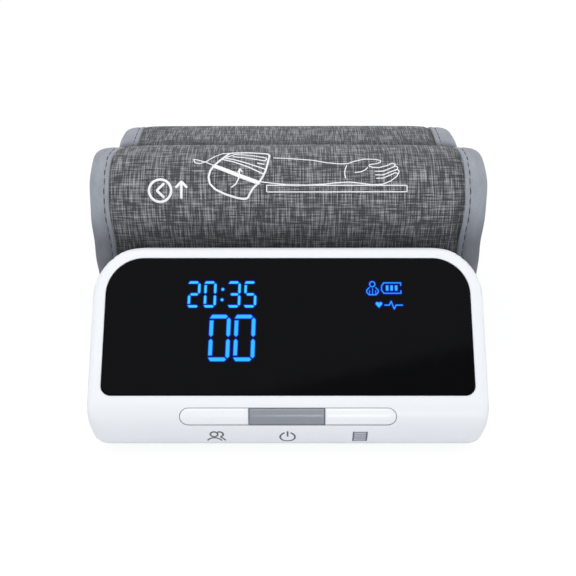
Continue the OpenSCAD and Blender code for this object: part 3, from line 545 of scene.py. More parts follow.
def swap_mesh(piece):
    """Puts the piece's evaluated mesh in place of its own and drops its modifiers."""
    depsgraph = bpy.context.evaluated_depsgraph_get()
    made = bpy.data.meshes.new_from_object(piece.evaluated_get(depsgraph))
    piece.modifiers.clear()
    piece.data = made


def cut(piece, cutter):
    tool = piece.modifiers.new("cut", "BOOLEAN")
    tool.operation = "DIFFERENCE"
    tool.object = cutter
    tool.solver = "EXACT"
    swap_mesh(piece)
    bpy.data.objects.remove(cutter)


def round_corners(low, high, radii, steps=12):
    """Rectangle with a radius at each corner: lower left, lower right, upper right, upper left."""
    centres = [(low[0] + radii[0], low[1] + radii[0], 180),
               (high[0] - radii[1], low[1] + radii[1], 270),
               (high[0] - radii[2], high[1] - radii[2], 0),
               (low[0] + radii[3], high[1] - radii[3], 90)]
    points = []
    for (x, y, start), r in zip(centres, radii):
        for i in range(steps + 1):
            a = math.radians(start + 90 * i / steps)
            points.append((x + r * math.cos(a), y + r * math.sin(a)))
    return points


# ---- Housing --------------------------------------------------------------------------------

HALF_W, DEEP, WALL = 70.0, 50.0, 2.4
SLOPE = math.radians(41.25)
COS, SIN = math.cos(SLOPE), math.sin(SLOPE)
LIP_R, BASE_Z = 12.7, 0.9
LIP = np.array([LIP_R, BASE_Z + LIP_R])
FACE_LOW = LIP + LIP_R * np.array([-SIN, COS])
TOP_R = 3.0
TOP_Y = DEEP - TOP_R
TOP_Z = FACE_LOW[1] + ((TOP_Y - FACE_LOW[0]) * SIN - TOP_R) / COS
FACE_H = (TOP_Y - FACE_LOW[0]) * COS + (TOP_Z - FACE_LOW[1]) * SIN + TOP_R
FACE_TURN = 90 + 41.25
FACE_CORNER_R = 19.0
FACE_EDGE_R, SIDE_EDGE_R = 1.3, 6.6
LIP_FULLER = 0.4
SIDE_RIM = 4.65
WINDOW_LOW, WINDOW_HIGH = 2.6, 52.2
WINDOW_CORNERS = (3.6, 3.6, 13.5, 13.5)
KEY_TILT = math.radians(27)
PILL_L, PILL_H = 75.6, 6.4
SOCKET_Y, SOCKET_Z, SOCKET_HALF_L, SOCKET_HALF_H = 31, 10, 4.65, 1.75
FIT = 0.15
SKIN_STEP = 0.02
HOUSING_MIDDLE = np.array([0.0, 30.0, 22.0])


def on_face(x, up, out):
    """A place on the display face: across, up the slope, and out of it."""
    return (x, FACE_LOW[0] + up * COS - out * SIN, FACE_LOW[1] + up * SIN + out * COS)


def side_outline():
    """The housing from its side: round lip, level base, upright back and sloping face."""
    def arc(c, r, start, end, steps):
        return [(c[0] + r * math.cos(math.radians(start + (end - start) * i / steps)),
                 c[1] + r * math.sin(math.radians(start + (end - start) * i / steps)))
                for i in range(steps + 1)]
    return np.array(arc(LIP, LIP_R, FACE_TURN, 270, 48) + [(DEEP, BASE_Z)]
                    + arc((TOP_Y, TOP_Z), TOP_R, 0, FACE_TURN, 16))


def from_outline(q, outline):
    """Signed distance of flat points from a closed outline, negative inside."""
    best = np.full(len(q), FAR)
    inside = np.zeros(len(q), bool)
    n = len(outline)
    for i in range(n):
        a, b = outline[i], outline[(i + 1) % n]
        edge = b - a
        if edge @ edge < 1e-12:
            continue
        w = q - a
        t = np.clip((w @ edge) / (edge @ edge), 0, 1)
        gap = w - t[:, None] * edge
        best = np.minimum(best, (gap ** 2).sum(1))
        crosses = ((a[1] <= q[:, 1]) & (b[1] > q[:, 1])) | ((b[1] <= q[:, 1]) & (a[1] > q[:, 1]))
        if abs(edge[1]) > 1e-12:
            inside ^= crosses & (q[:, 0] < a[0] + (q[:, 1] - a[1]) / edge[1] * edge[0])
    return np.where(inside, -1, 1) * np.sqrt(best)


SIDE = side_outline()


def lip_fullness(y, z):
    """How far the lip's underside stands out beyond its round outline."""
    low = np.clip((12.0 - z) / 7.0, 0, 1) * np.clip((16.0 - y) / 8.0, 0, 1)
    return LIP_FULLER * low * low * (3 - 2 * low)


def from_housing(p):
    """Distance of points from the housing's skin: its side outline, cut by its rounded sides."""
    x, y, z = np.abs(p[:, 0]), p[:, 1], p[:, 2]
    profile = from_outline(p[:, 1:], SIDE) - lip_fullness(y, z)
    up = (y - FACE_LOW[0]) * COS + (z - FACE_LOW[1]) * SIN
    r = FACE_CORNER_R
    qx, qu = x - (HALF_W - r), up - (FACE_H - r)
    face = np.where((qx > 0) & (qu > 0), np.hypot(qx, qu) - r, np.maximum(x - HALF_W, up - FACE_H))
    sides = np.maximum(face, x - HALF_W)
    t = np.clip((24.0 - z) / 15.0, 0, 1)
    soft = FACE_EDGE_R + (SIDE_EDGE_R - FACE_EDGE_R) * t * t * (3 - 2 * t)
    h = np.clip(0.5 + 0.5 * (profile - sides) / soft, 0, 1)
    return sides + (profile - sides) * h + soft * h * (1 - h)


def settle(p, level, rounds=4):
    """Moves points onto the skin that lies at a set distance."""
    for _ in range(rounds):
        here = from_housing(p) - level
        slope = np.stack([(from_housing(p + d) - from_housing(p - d)) / (2 * SKIN_STEP)
                          for d in np.eye(3) * SKIN_STEP], 1)
        p = p - slope * (here / np.maximum((slope ** 2).sum(1), 0.2))[:, None]
    return p


def skin(name, level, start_steps, voxel):
    """A closed skin of the housing: a blown-up cube, evened out and then settled exactly."""
    side = np.linspace(-1, 1, start_steps)
    points, faces = [], []
    for axis in range(3):
        for sign in (-1, 1):
            base = len(points)
            for a in side:
                for b in side:
                    v = [0, 0, 0]
                    v[axis], v[(axis + 1) % 3], v[(axis + 2) % 3] = sign, a, b
                    points.append(v)
            for i in range(start_steps - 1):
                for j in range(start_steps - 1):
                    q = base + i * start_steps + j
                    f = (q, q + start_steps, q + start_steps + 1, q + 1)
                    faces.append(f if sign > 0 else tuple(reversed(f)))
    ray = np.array(points, float) * (70.0, 26.0, 22.0)
    ray /= np.linalg.norm(ray, axis=1)[:, None]
    near, far = np.zeros(len(ray)), np.full(len(ray), 110.0)
    for _ in range(22):
        half = (near + far) / 2
        out = from_housing(HOUSING_MIDDLE + ray * half[:, None]) > level
        far, near = np.where(out, half, far), np.where(out, near, half)
    piece = make_piece(name, HOUSING_MIDDLE + ray * near[:, None], faces, HOUSING_WHITE,
                       closed=False)
    weld = piece.modifiers.new("weld", "WELD")
    weld.merge_threshold = 0.00001
    grid = piece.modifiers.new("even", "REMESH")
    grid.mode = "VOXEL"
    grid.voxel_size = voxel * METRE
    grid.use_smooth_shade = True
    swap_mesh(piece)
    co = np.zeros(len(piece.data.vertices) * 3)
    piece.data.vertices.foreach_get("co", co)
    p = co.reshape(-1, 3) * 1000
    p[:, 1] += WHOLE_DEPTH / 2
    piece.data.vertices.foreach_set("co", metres(settle(p, level)).ravel())
    piece.data.update()
    return piece


def window_outline(inset, steps=16):
    return round_corners((-HALF_W + SIDE_RIM + inset, WINDOW_LOW + inset),
                         (HALF_W - SIDE_RIM - inset, WINDOW_HIGH - inset), WINDOW_CORNERS, steps)


def pill_outline(steps=16):
    half, r = PILL_L / 2 - PILL_H / 2, PILL_H / 2
    angles = [math.radians(-90 + 180 * i / steps) for i in range(steps + 1)]
    right = [(half + r * math.cos(a), r * math.sin(a)) for a in angles]
    return right + [(-x, -y) for x, y in right]


def off_lip(x, up, out):
    """A place over the lip, in the flat frame that the keys move in."""
    c, s = math.cos(KEY_TILT), math.sin(KEY_TILT)
    return (x, LIP[0] + up * s - out * c, LIP[1] + up * c + out * s)


def make_housing():
    """The front housing: a hollow skin with its window, key, base, rear and socket openings."""
    shell = skin("housing_shell", 0.0, 70, 0.95)
    cut(shell, skin("hollow", -WALL, 40, 2.2))
    cut(shell, prism("window_seat", window_outline(-FIT), on_face, -1.9, 4))
    cut(shell, prism("window_hole", window_outline(2.5), on_face, -8, 3))
    cut(shell, prism("key_hole", pill_outline(), off_lip, 6, 20))
    base = round_corners((-HALF_W + 9 - FIT, 14 - FIT), (HALF_W - 9 + FIT, 47.2), (3, 3, 1, 1), 6)
    cut(shell, prism("base_hole", base, lambda a, b, d: (a, b, d), -1, 4))
    rear = round_corners((-HALF_W + 5.5 - FIT, 5 - FIT),
                         (HALF_W - 5.5 + FIT, TOP_Z - 4.5 + FIT), (2, 2, 14, 14), 10)
    cut(shell, prism("rear_hole", rear, lambda a, b, d: (a, d, b), 47.3, 52))
    socket = round_corners((SOCKET_Y - SOCKET_HALF_L, SOCKET_Z - SOCKET_HALF_H),
                           (SOCKET_Y + SOCKET_HALF_L, SOCKET_Z + SOCKET_HALF_H),
                           (SOCKET_HALF_H - 0.01,) * 4, 6)
    cut(shell, prism("socket_hole", socket, lambda a, b, d: (d, a, b), 66, 72))
    shell.data.materials.clear()
    shell.data.materials.append(HOUSING_WHITE)
    shell.data.set_sharp_from_angle(angle=math.radians(38))
    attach(shell, "monitor")
    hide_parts("front_housing")


def ring_along(name, outline, section, finish, to_space):
    """A small section carried round a closed outline: the bead round the window."""
    o = np.array(outline)
    ahead, behind = np.roll(o, -1, 0), np.roll(o, 1, 0)
    way = ahead - behind
    way /= np.linalg.norm(way, axis=1)[:, None]
    normal = np.stack([way[:, 1], -way[:, 0]], 1)
    n, m = len(o), len(section)
    points = [to_space(*(o[i] + normal[i] * a), b) for i in range(n) for a, b in section]
    faces = [(i * m + j, i * m + (j + 1) % m,
              ((i + 1) % n) * m + (j + 1) % m, ((i + 1) % n) * m + j)
             for i in range(n) for j in range(m)]
    return make_piece(name, points, faces, finish, sharp=50)


def make_window():
    """The black panel in its seat, and the fine white bead round it."""
    depths = [(0.0, -1.9), (0.0, -0.42), (0.06, -0.24), (0.16, -0.14), (0.34, -0.1), (0.5, -0.1),
              (2.0, -0.1)]
    rings = [np.array([on_face(a, b, depth) for a, b in window_outline(inset, 20)])
             for inset, depth in depths]
    points, faces = loft(rings)
    window = make_piece("window_panel", points, faces, WINDOW_BLACK, sharp=30)
    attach(window, "monitor")
    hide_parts("display_window")
    bead = ring_along("window_bead", window_outline(-0.12, 20),
                      [(0.42, -0.3), (0.42, 0.0), (0.3, 0.09), (0.14, 0.1), (0.02, 0.02),
                       (-0.02, -0.3)], HOUSING_WHITE, on_face)
    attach(bead, "monitor")


# ---- Lit figures ----------------------------------------------------------------------------

CODES = {"0": "1110111", "2": "1011101", "3": "1011011", "5": "1101011"}
GLOW_WIDTH = 1.3


def bar(p, q, thick, gap):
    """One lit bar between two corners of a figure, with pointed ends."""
    p, q = np.array(p, float), np.array(q, float)
    way = (q - p) / np.linalg.norm(q - p)
    side = np.array([-way[1], way[0]]) * thick / 2
    p, q = p + way * gap, q - way * gap
    return np.array([p, p + way * thick / 2 + side, q - way * thick / 2 + side, q,
                     q - way * thick / 2 - side, p + way * thick / 2 - side])


def figure_bars(code, centre, height, width, thick, lean):
    """The lit bars of one seven-bar figure."""
    h, w = (height - thick) / 2, (width - thick) / 2
    at = {k: (centre[0] + x * w + y * h * math.tan(lean), centre[1] + y * h)
          for k, (x, y) in {"a": (-1, 1), "b": (1, 1), "c": (-1, 0), "d": (1, 0),
                            "e": (-1, -1), "f": (1, -1)}.items()}
    shapes = {e: bar(at[e[0]], at[e[1]], thick, thick * 0.24)
              for e in ("ab", "ac", "bd", "cd", "ce", "df", "ef")}
    half, gap = thick / 2, thick * 0.24
    for end, level, upright, way in (("a", shapes["ab"], shapes["ac"], 1),
                                     ("e", shapes["ef"], shapes["ce"], -1)):
        # The level bar takes the whole left corner, and the upright one stops square before it.
        x, y = at[end]
        inner, outer = (x - half, y - way * half), (x + half * 0.25, y + way * half)
        level[0] = (x - half * 0.5, y)
        level[1], level[5] = (outer, inner) if way > 0 else (inner, outer)
        near = [0, 1, 5] if end == "a" else [2, 3, 4]
        upright[near, 1] = y - way * (half + gap * 2.0)
    return [shape for shape, on in zip(shapes.values(), CODES[code]) if on == "1"]


def near_bars(q, bars):
    return np.min([from_outline(q, b) for b in bars], 0) - 0.06


def near_disc(q, centre, r):
    return np.hypot(q[:, 0] - centre[0], q[:, 1] - centre[1]) - r


def near_box(q, centre, half, r):
    d = np.abs(q - centre) - (np.array(half) - r)
    return np.hypot(*np.maximum(d, 0).T) + np.minimum(d.max(1), 0) - r


def near_line(q, points, r):
    best = np.full(len(q), FAR)
    for a, b in zip(points[:-1], points[1:]):
        a, b = np.array(a, float), np.array(b, float)
        t = np.clip(((q - a) @ (b - a)) / ((b - a) @ (b - a)), 0, 1)
        best = np.minimum(best, np.linalg.norm(q - a - t[:, None] * (b - a), axis=1))
    return best - r


def lit_patch(name, low, high, distance, small, step=0.2):
    """A thin plate on the window whose points know how far they are from the lit shapes."""
    nx, ny = (int(round((high[i] - low[i]) / step)) + 1 for i in (0, 1))
    gx, gy = np.meshgrid(np.linspace(low[0], high[0], nx), np.linspace(low[1], high[1], ny),
                         indexing="ij")
    q = np.stack([gx.ravel(), gy.ravel()], 1)
    glow = np.clip(0.5 - distance(q) / GLOW_WIDTH, 0, 1)
    top = np.array([on_face(a, b, -0.075) for a, b in q])
    faces, edge = grid_faces(nx, ny)
    under = np.array([on_face(*q[i], -0.13) for i in edge])
    n0, m = len(top), len(edge)
    faces += [(edge[i], n0 + i, n0 + (i + 1) % m, edge[(i + 1) % m]) for i in range(m)]
    faces.append(tuple(n0 + i for i in range(m - 1, -1, -1)))
    values = {"glow": np.append(glow, np.zeros(m)), "small": np.full(n0 + m, small)}
    patch = make_piece(name, np.vstack([top, under]), faces, LIT, sharp=40, values=values)
    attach(patch, "monitor")


def make_figures():
    """The result, the clock, and small common signs: person, battery, heart and pulse."""
    big = [b for x in (-24.25, -15.4)
           for b in figure_bars("0", (x, 22.95), 16.75, 7.5, 1.4, math.radians(1.4))]
    lit_patch("lit_result_figures", (-30.5, 12.5), (-9.0, 33.2), lambda q: near_bars(q, big), 0.0)
    clock = [b for code, x in (("2", -33.65), ("0", -27.9), ("3", -19.2), ("5", -13.5))
             for b in figure_bars(code, (x, 38.75), 9.75, 4.45, 0.95, math.radians(1.1))]
    dots = [(-23.6, 36.75), (-23.4, 40.6)]
    lit_patch("lit_clock_figures", (-37.6, 33.3), (-9.4, 44.4),
              lambda q: np.min([near_bars(q, clock)] + [near_disc(q, d, 0.62) for d in dots], 0),
              1.0)

    def signs(q):
        head = np.abs(near_disc(q, (30.3, 42.5), 0.95)) - 0.3
        body = near_line(q, [(29.2, 41.25), (28.3, 40.4), (28.25, 39.5), (29.05, 38.6),
                             (31.55, 38.6), (32.4, 39.5), (32.3, 40.4), (31.5, 41.25)], 0.28)
        arms = [near_line(q, [(x, y), (x, 38.8)], 0.24)
                for x, y in ((29.25, 40.2), (30.35, 40.9), (31.45, 40.2))]
        case = near_line(q, [(40.5, 42.05), (40.5, 43.0), (34.4, 43.0), (33.6, 41.8),
                             (33.6, 40.25), (34.4, 39.15), (40.5, 39.15), (40.5, 40.1)], 0.29)
        charge = [near_box(q, np.array([x, 41.1]), (0.58, 1.1), 0.15) for x in (35.6, 37.2, 38.85)]
        pulse = near_line(q, [(34.6, 34.8), (36.2, 34.8), (36.9, 36.2), (37.9, 33.4),
                              (38.6, 34.8), (40.9, 34.8)], 0.3)
        lobes = [near_disc(q, (x, 35.35), 0.72) for x in (31.9, 33.1)]
        point = from_outline(q, np.array([(31.28, 35.0), (32.5, 33.6), (33.72, 35.0),
                                          (32.5, 35.8)]))
        return np.min([head, body, case, pulse, point] + arms + charge + lobes, 0) + 0.04
    lit_patch("lit_signs", (26.5, 31.8), (43.0, 45.2), signs, 0.0)


# ---- Keys and their signs -------------------------------------------------------------------

KEY_GAP = 0.18
KEY_R, KEY_REACH = PILL_H / 2 - KEY_GAP, PILL_L / 2 - PILL_H / 2
KEY_RAISED, KEY_CROWN, KEY_EDGE_R, KEY_EDGE_DROP, KEY_THICK = 0.18, 0.3, 0.75, 0.55, 3.4


def key_surface(x, up, left, right, round_left, round_right):
    """Height of a key's crowned top over the lip's circle, by its distance from its rim."""
    from_ridge = np.hypot(np.maximum(np.abs(x) - KEY_REACH, 0), up)
    crown = KEY_CROWN * np.clip(1 - np.hypot(from_ridge, 0.45) / KEY_R, 0, 1)
    rim = KEY_R - from_ridge
    if not round_left:
        rim = np.minimum(rim, x - left)
    if not round_right:
        rim = np.minimum(rim, right - x)
    t = np.clip(1 - rim / KEY_EDGE_R, 0, 1)
    return KEY_RAISED + crown - KEY_EDGE_DROP * (1 - np.sqrt(np.maximum(1 - t ** 2, 0)))


def make_key(name, node, finish, left, right, round_left, round_right):
    """One key of the pill: a crowned cap over a straight-sided foot. Body and node share a name."""
    nx, nu = 72, 22
    t = np.linspace(0, math.pi, nx)
    along = left + (right - left) * (1 - np.cos(t)) / 2
    past = np.maximum(np.abs(along) - KEY_REACH, 0)
    width = np.sqrt(np.maximum(KEY_R ** 2 - past ** 2, 1e-6))
    share = -np.cos(np.linspace(0, math.pi, nu))
    rows = []
    for x, w in zip(along, width):
        up = share * w
        out = np.sqrt(LIP_R ** 2 - up ** 2)
        rise = key_surface(np.full(nu, x), up, left, right, round_left, round_right)
        rows.append([off_lip(x, u * (1 + h / LIP_R), o + h) for u, o, h in zip(up, out, rise)])
    top = np.array(rows).reshape(-1, 3)
    foot = np.array([off_lip(x, u, math.sqrt(LIP_R ** 2 - u ** 2) - KEY_THICK)
                     for x, w in zip(along, width) for u in share * w])
    n0 = len(top)
    faces, edge = grid_faces(nx, nu)
    faces += [(n0 + f[0], n0 + f[3], n0 + f[2], n0 + f[1]) for f in faces]
    m = len(edge)
    faces += [(edge[i], n0 + edge[i], n0 + edge[(i + 1) % m], edge[(i + 1) % m])
              for i in range(m)]
    key = make_piece(name, np.vstack([top, foot]), faces, finish, sharp=55)
    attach(key, node)
    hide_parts(node)


def make_keys():
    end = PILL_L / 2 - KEY_GAP
    for node, finish, slot, left, right, round_left, round_right in (
            ("user_key", KEY_WHITE, "key_white", -end, -13.7, True, False),
            ("power_key", KEY_GREY, "key_grey", -13.5, 12.7, False, False),
            ("memory_key", KEY_WHITE, "key_white", 12.9, end, False, True)):
        make_key(node + "_cap", node, finish, left, right, round_left, round_right)


def ribbon(lines, width, to_space, step=0.45):
    """Printed strokes of one width, laid on a surface: points, faces and flat places."""
    points, faces, flat = [], [], []
    for line in lines:
        shut = line[0] == line[-1]
        p = np.array(line, float)
        run = np.concatenate([[0], np.cumsum(np.linalg.norm(np.diff(p, axis=0), axis=1))])
        count = max(int(run[-1] / step), 2)
        s = np.linspace(0, run[-1], count + 1)
        q = np.stack([np.interp(s, run, p[:, 0]), np.interp(s, run, p[:, 1])], 1)
        if shut:
            way = np.roll(q[:-1], -1, 0) - np.roll(q[:-1], 1, 0)
            q = q[:-1]
        else:
            way = np.gradient(q, axis=0)
        way /= np.maximum(np.linalg.norm(way, axis=1), 1e-9)[:, None]
        side = np.stack([-way[:, 1], way[:, 0]], 1) * width / 2
        if not shut:
            q = np.vstack([q[0] - way[0] * width * 0.4, q, q[-1] + way[-1] * width * 0.4])
            side = np.vstack([side[0] * 0.45, side, side[-1] * 0.45])
        base, n = len(points), len(q)
        for c, d in zip(q, side):
            for place, lift in ((c - d, -0.05), (c - d * 0.9, 0.05), (c + d * 0.9, 0.05),
                                (c + d, -0.05)):
                points.append(to_space(place[0], place[1], lift))
                flat.append((place[0], place[1], 0.0))
        last = n if shut else n - 1
        for i in range(last):
            a, b = base + i * 4, base + ((i + 1) % n) * 4
            faces += [(a + j, a + (j + 1) % 4, b + (j + 1) % 4, b + j) for j in range(4)]
        if not shut:
            faces += [(base + 3, base + 2, base + 1, base),
                      tuple(base + (n - 1) * 4 + j for j in range(4))]
    return points, faces, flat


def circle(x, y, r, start=0, end=360, steps=40):
    angles = [math.radians(start + (end - start) * i / steps) for i in range(steps + 1)]
    points = [(x + r * math.cos(a), y + r * math.sin(a)) for a in angles]
    if abs(end - start) == 360:
        points[-1] = points[0]
    return points


def round_lip(x, up, lift):
    """A place on the lip's rounding: up is the way round it from the middle of the keys."""
    a = KEY_TILT + up / LIP_R
    r = LIP_R + lift
    r += float(lip_fullness(LIP[0] - r * math.cos(a), LIP[1] + r * math.sin(a)))
    return (x, LIP[0] - r * math.cos(a), LIP[1] + r * math.sin(a))


def make_key_signs():
    """Two people, the power sign and a list, under the keys that they belong to."""
    y = -8.7
    lines = [circle(-25.9, y + 1.35, 1.3), circle(-25.9, y - 3.2, 2.55, 20, 160),
             circle(-24.0, y + 1.35, 1.3, -70, 110),
             [(-23.6, y - 0.3), (-22.7, y - 1.1), (-22.1, y - 2.2)],
             circle(-0.15, y - 0.2, 2.6, 118, 422), [(-0.15, y + 0.4), (-0.15, y + 2.7)]]
    lines += [[(x, y - 2.7), (x, y + 2.5)] for x in (23.0, 27.6)]
    rows = [[(23.6, y + h), (27.0, y + h)] for h in (2.25, 1.05, -0.15, -1.35, -2.5)]
    for name, strokes, width, finish in (("key_signs", lines, 0.66, PRINT_GREY),
                                         ("list_sign_rows", rows, 0.95, PRINT_PALE)):
        points, faces, _ = ribbon(strokes, width, round_lip)
        signs = make_piece(name, points, faces, finish)
        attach(signs, "monitor")


# ---- The cuff -------------------------------------------------------------------------------

# Places on the band: x across it, s along its middle line, and out towards its outer cloth.
# s is 0 behind the housing, grows up over the bump, and is below 0 under the cuff and on the lap.
HALF_T = 3.2
CORE_AT, BLADDER_AT, LINER_AT = 1.2, 0.4, -1.2
TAPE_W = 7.7
EDGE_X = 72.9
BUMP_R, VALLEY_R, TOP_BEND_R, LOW_BEND_R = 16.3, 13.517, 21.8, 30.0
UPPER_MOVES = [(36, 0), (BUMP_R, -90), (0.9, 0), (BUMP_R, -75), (VALLEY_R, 75), (20.999, 0),
               (13.7, -90), (13.3, 0), (21.9, -90), (41.7, 0), (9, -90), (8, 0)]
SEAT, LOW_CORNER_R, FLOOR, BACK_RISE = 14.8, 12, 46.8, 13.3
LOWER_MOVES = [(SEAT, 0), (LOW_CORNER_R, 90), (FLOOR, 0), (LOW_BEND_R, 90), (BACK_RISE, 0),
               (TOP_BEND_R, 90), (18.5, 0)]
MOUNT = (57, 30)
PATH_STEP = 0.4
SMOOTHING = 5


def trace(start, heading, moves, step=PATH_STEP):
    """Points along straight stretches and bends, a left turn positive."""
    points, p = [np.array(start, float)], np.array(start, float)
    aim = lambda a: np.array([math.cos(math.radians(a)), math.sin(math.radians(a))])
    for size, turn in moves:
        if turn == 0:
            n = max(int(size / step), 1)
            points += [p + aim(heading) * size * i / n for i in range(1, n + 1)]
            p = p + aim(heading) * size
        else:
            n = max(int(size * abs(math.radians(turn)) / step), 2)
            hand = math.copysign(1, turn)
            centre = p + size * hand * aim(heading + 90)
            points += [centre - size * hand * aim(heading + turn * i / n + 90)
                       for i in range(1, n + 1)]
            p = points[-1]
            heading += turn
    return np.array(points)


def make_path():
    """The band's middle line from the outer lap's free end, under the cuff and over the bump."""
    lower = trace(MOUNT, -90, LOWER_MOVES)
    upper = trace(MOUNT, 90, UPPER_MOVES)
    line = np.vstack([lower[::-1], upper[1:]])
    run = np.concatenate([[0], np.cumsum(np.linalg.norm(np.diff(line, axis=0), axis=1))])
    zero = run[len(lower) - 1]
    s = np.arange(0, run[-1] + PATH_STEP / 2, PATH_STEP)
    s[-1] = run[-1]
    line = np.stack([np.interp(s, run, line[:, i]) for i in (0, 1)], 1)
    reach = 3 * SMOOTHING
    kernel = np.exp(-0.5 * (np.arange(-reach, reach + 1) / SMOOTHING) ** 2)
    kernel /= kernel.sum()
    ends = [line[0] - (line[1] - line[0]) * k for k in range(reach, 0, -1)]
    more = [line[-1] + (line[-1] - line[-2]) * k for k in range(1, reach + 1)]
    wide = np.vstack([ends, line, more])
    line = np.stack([np.convolve(wide[:, i], kernel, "valid") for i in (0, 1)], 1)
    way = np.gradient(line, axis=0)
    way /= np.linalg.norm(way, axis=1)[:, None]
    return s - zero, line, way


RUN, LINE, WAY = make_path()
TIP_END, INNER_END = RUN[0], RUN[-1]
LOW_HINGE = -(SEAT + LOW_CORNER_R * math.pi / 2 + FLOOR + LOW_BEND_R * math.pi / 2)
HIGH_HINGE = LOW_HINGE - BACK_RISE - TOP_BEND_R * math.radians(40)
FLOOR_SEAM, BACK_SEAM = -76.0, LOW_HINGE - 7.0


def step_between(value, low, high):
    t = np.clip((value - low) / (high - low), 0, 1)
    return t * t * (3 - 2 * t)


def on_band(x, s, out):
    """A place on the band: across, along its path, and out from its middle line."""
    x, s, out = (np.asarray(v, float) for v in (x, s, out))
    droop = (0.45 * step_between(s, 15, 35) * (1 - step_between(s, 85, 100))
             + 0.6 * step_between(-s, 140, 165))
    out = out - droop * step_between(np.abs(x), 63.5, 73)
    x = x * (1 - 0.011 * step_between(-s, 60, 120))
    y, z = np.interp(s, RUN, LINE[:, 0]), np.interp(s, RUN, LINE[:, 1])
    wy, wz = np.interp(s, RUN, WAY[:, 0]), np.interp(s, RUN, WAY[:, 1])
    return np.stack([np.broadcast_to(x, y.shape), y - wz * out, z + wy * out], -1)


def ripple(x, s):
    """Slight, uneven waves of cloth over its filling."""
    return (np.sin(s * 0.19 + 1.7 * np.sin(x * 0.045)) * 0.5
            + np.sin(x * 0.11 + 0.06 * s + 2.0) * 0.3 + np.sin(s * 0.47 + x * 0.07) * 0.2)


def tape_wide(x, s):
    """How far in the binding reaches: hand sewn, so it is not the same all the way."""
    return TAPE_W * (1 + 0.05 * (1 + np.sign(x)) + 0.12 * step_between(np.abs(s - 50), 8, 24)
                     + 0.22 * (x < 0) * step_between(s, 56, 73))


def cloth_top(x, s):
    """The outer cloth's surface: softly filled, and drawn down along the binding's seam."""
    x, s = np.asarray(x, float), np.asarray(s, float)
    free = step_between(s, 26, 44) * (1 - step_between(s, 84, 100))
    lap = step_between(-s, 84, 120) * 0.5
    inner = EDGE_X - tape_wide(x, s)
    fill = np.clip(1 - (np.abs(x) / inner) ** 8, 0, 1)
    seam = step_between(inner - np.abs(x), -0.6, 1.2)
    shoulder = step_between(inner - np.abs(x), 0.8, 9.0)
    return (HALF_T - 1.0 * (1 - seam) - 0.25 * (1 - shoulder) + (0.55 * free + 0.2 * lap) * fill
            + 0.14 * ripple(x, s) * (free + lap) * shoulder)


# Painted shade, stored on the cloth and the binding at each point.
def painted_shade(x, s):
    """Painted shade: how much darker the cloth is drawn behind the housing, at the bump, under a
    lap and at the seams, where shade falls.
    """
    behind_housing = 0.5 * (1 - step_between(s, 26.5, 42)) * step_between(s, -30, 0)
    by_bump = 0.68 * (1 - step_between(s - TIP_END, 3.0, 11))
    under_lap = 0.3 * step_between(s, 68, 84)
    by_seam = 0.65 * (1 - step_between(np.abs(np.abs(x) - EDGE_X + tape_wide(x, s)), 0.3, 1.8))
    return 1 - (1 - behind_housing - by_bump - under_lap) * (1 - by_seam)


def at_level(out):
    """A surface of the band that keeps one distance from its middle line."""
    return lambda x, s: np.full(np.shape(x), out)


def band_strip(name, s0, s1, half_width, top, bottom, finish, across=52, under=14, step=1.5):
    """A layer of the band between two surfaces, with sloping long edges."""
    rows = max(int(abs(s1 - s0) / step), 2)
    rings, flat = [], []
    for s in np.linspace(s0, s1, rows + 1):
        xs = np.linspace(-half_width, half_width, across)
        xb = np.linspace(half_width - 0.3, -half_width + 0.3, under)
        row = np.full(across, s)
        ring = np.vstack([on_band(xs, row, top(xs, row)),
                          on_band(xb, np.full(under, s), bottom(xb, np.full(under, s)))])
        rings.append(ring)
        flat.append(np.stack([np.concatenate([xs, xb]), np.full(across + under, s),
                              np.zeros(across + under)], 1))
    points, faces = loft(rings)
    flat = np.vstack(flat)
    # Each point keeps its flat place on the band and how much painted shade it is drawn with.
    return make_piece(name, points, faces, finish, sharp=50,
                      values={"cloth_place": flat, "painted_shade": painted_shade(flat[:, 0], flat[:, 1])})


def tape_section(side, s):
    """The binding's section at an edge, as distance in from the edge and out from the middle."""
    skin_line = [(7.7, 1.95), (7.72, 2.55), (7.4, 2.84), (6.9, 2.92), (6.4, 2.84), (6.0, 2.48),
                 (5.6, 2.78), (4.6, 2.94), (3.4, 2.9), (2.3, 2.75), (1.35, 2.4), (0.65, 1.85),
                 (0.2, 1.15), (0.02, 0.2), (0.0, -1.1), (0.25, -2.15), (0.9, -2.85),
                 (2.0, -3.14), (5.6, -3.22), (6.0, -2.95), (6.4, -3.22), (7.3, -3.25),
                 (7.7, -3.1), (7.7, -2.55)]
    inside = [(6.0, -2.6), (2.2, -2.5), (1.0, -1.8), (0.9, -0.7), (1.6, 0.9), (3.0, 1.9),
              (6.0, 2.1)]
    wide = float(tape_wide(side, s)) / TAPE_W
    return [(side * (EDGE_X - u * wide), o) for u, o in skin_line + inside]


def band_tape(name, s0, s1, side):
    """The binding along one edge: its section swept along the band with a slight hand-sewn sway."""
    rows = max(int(abs(s1 - s0) / 1.5), 2)
    rings, flat = [], []
    start = np.array(tape_section(side, s0))
    girth = np.concatenate([[0], np.cumsum(np.linalg.norm(np.diff(start, axis=0), axis=1))])
    for s in np.linspace(s0, s1, rows + 1):
        across, out = np.array(tape_section(side, s)).T
        sway = 0.22 * math.sin(s * 0.13 + side) + 0.12 * math.sin(s * 0.41)
        x = across + side * sway * (1 - np.clip((EDGE_X - np.abs(across)) / TAPE_W, 0, 1))
        rings.append(on_band(x, np.full(len(x), s), out))
        flat.append(np.stack([girth, np.full(len(x), s), np.zeros(len(x))], 1))
    points, faces = loft(rings)
    flat = np.vstack(flat)
    # Each point keeps its flat place and the painted shade of its stretch of band.
    return make_piece(name, points, faces, TAPE, sharp=60, values={
        "cloth_place": flat, "painted_shade": painted_shade(np.zeros(len(flat)), flat[:, 1])})


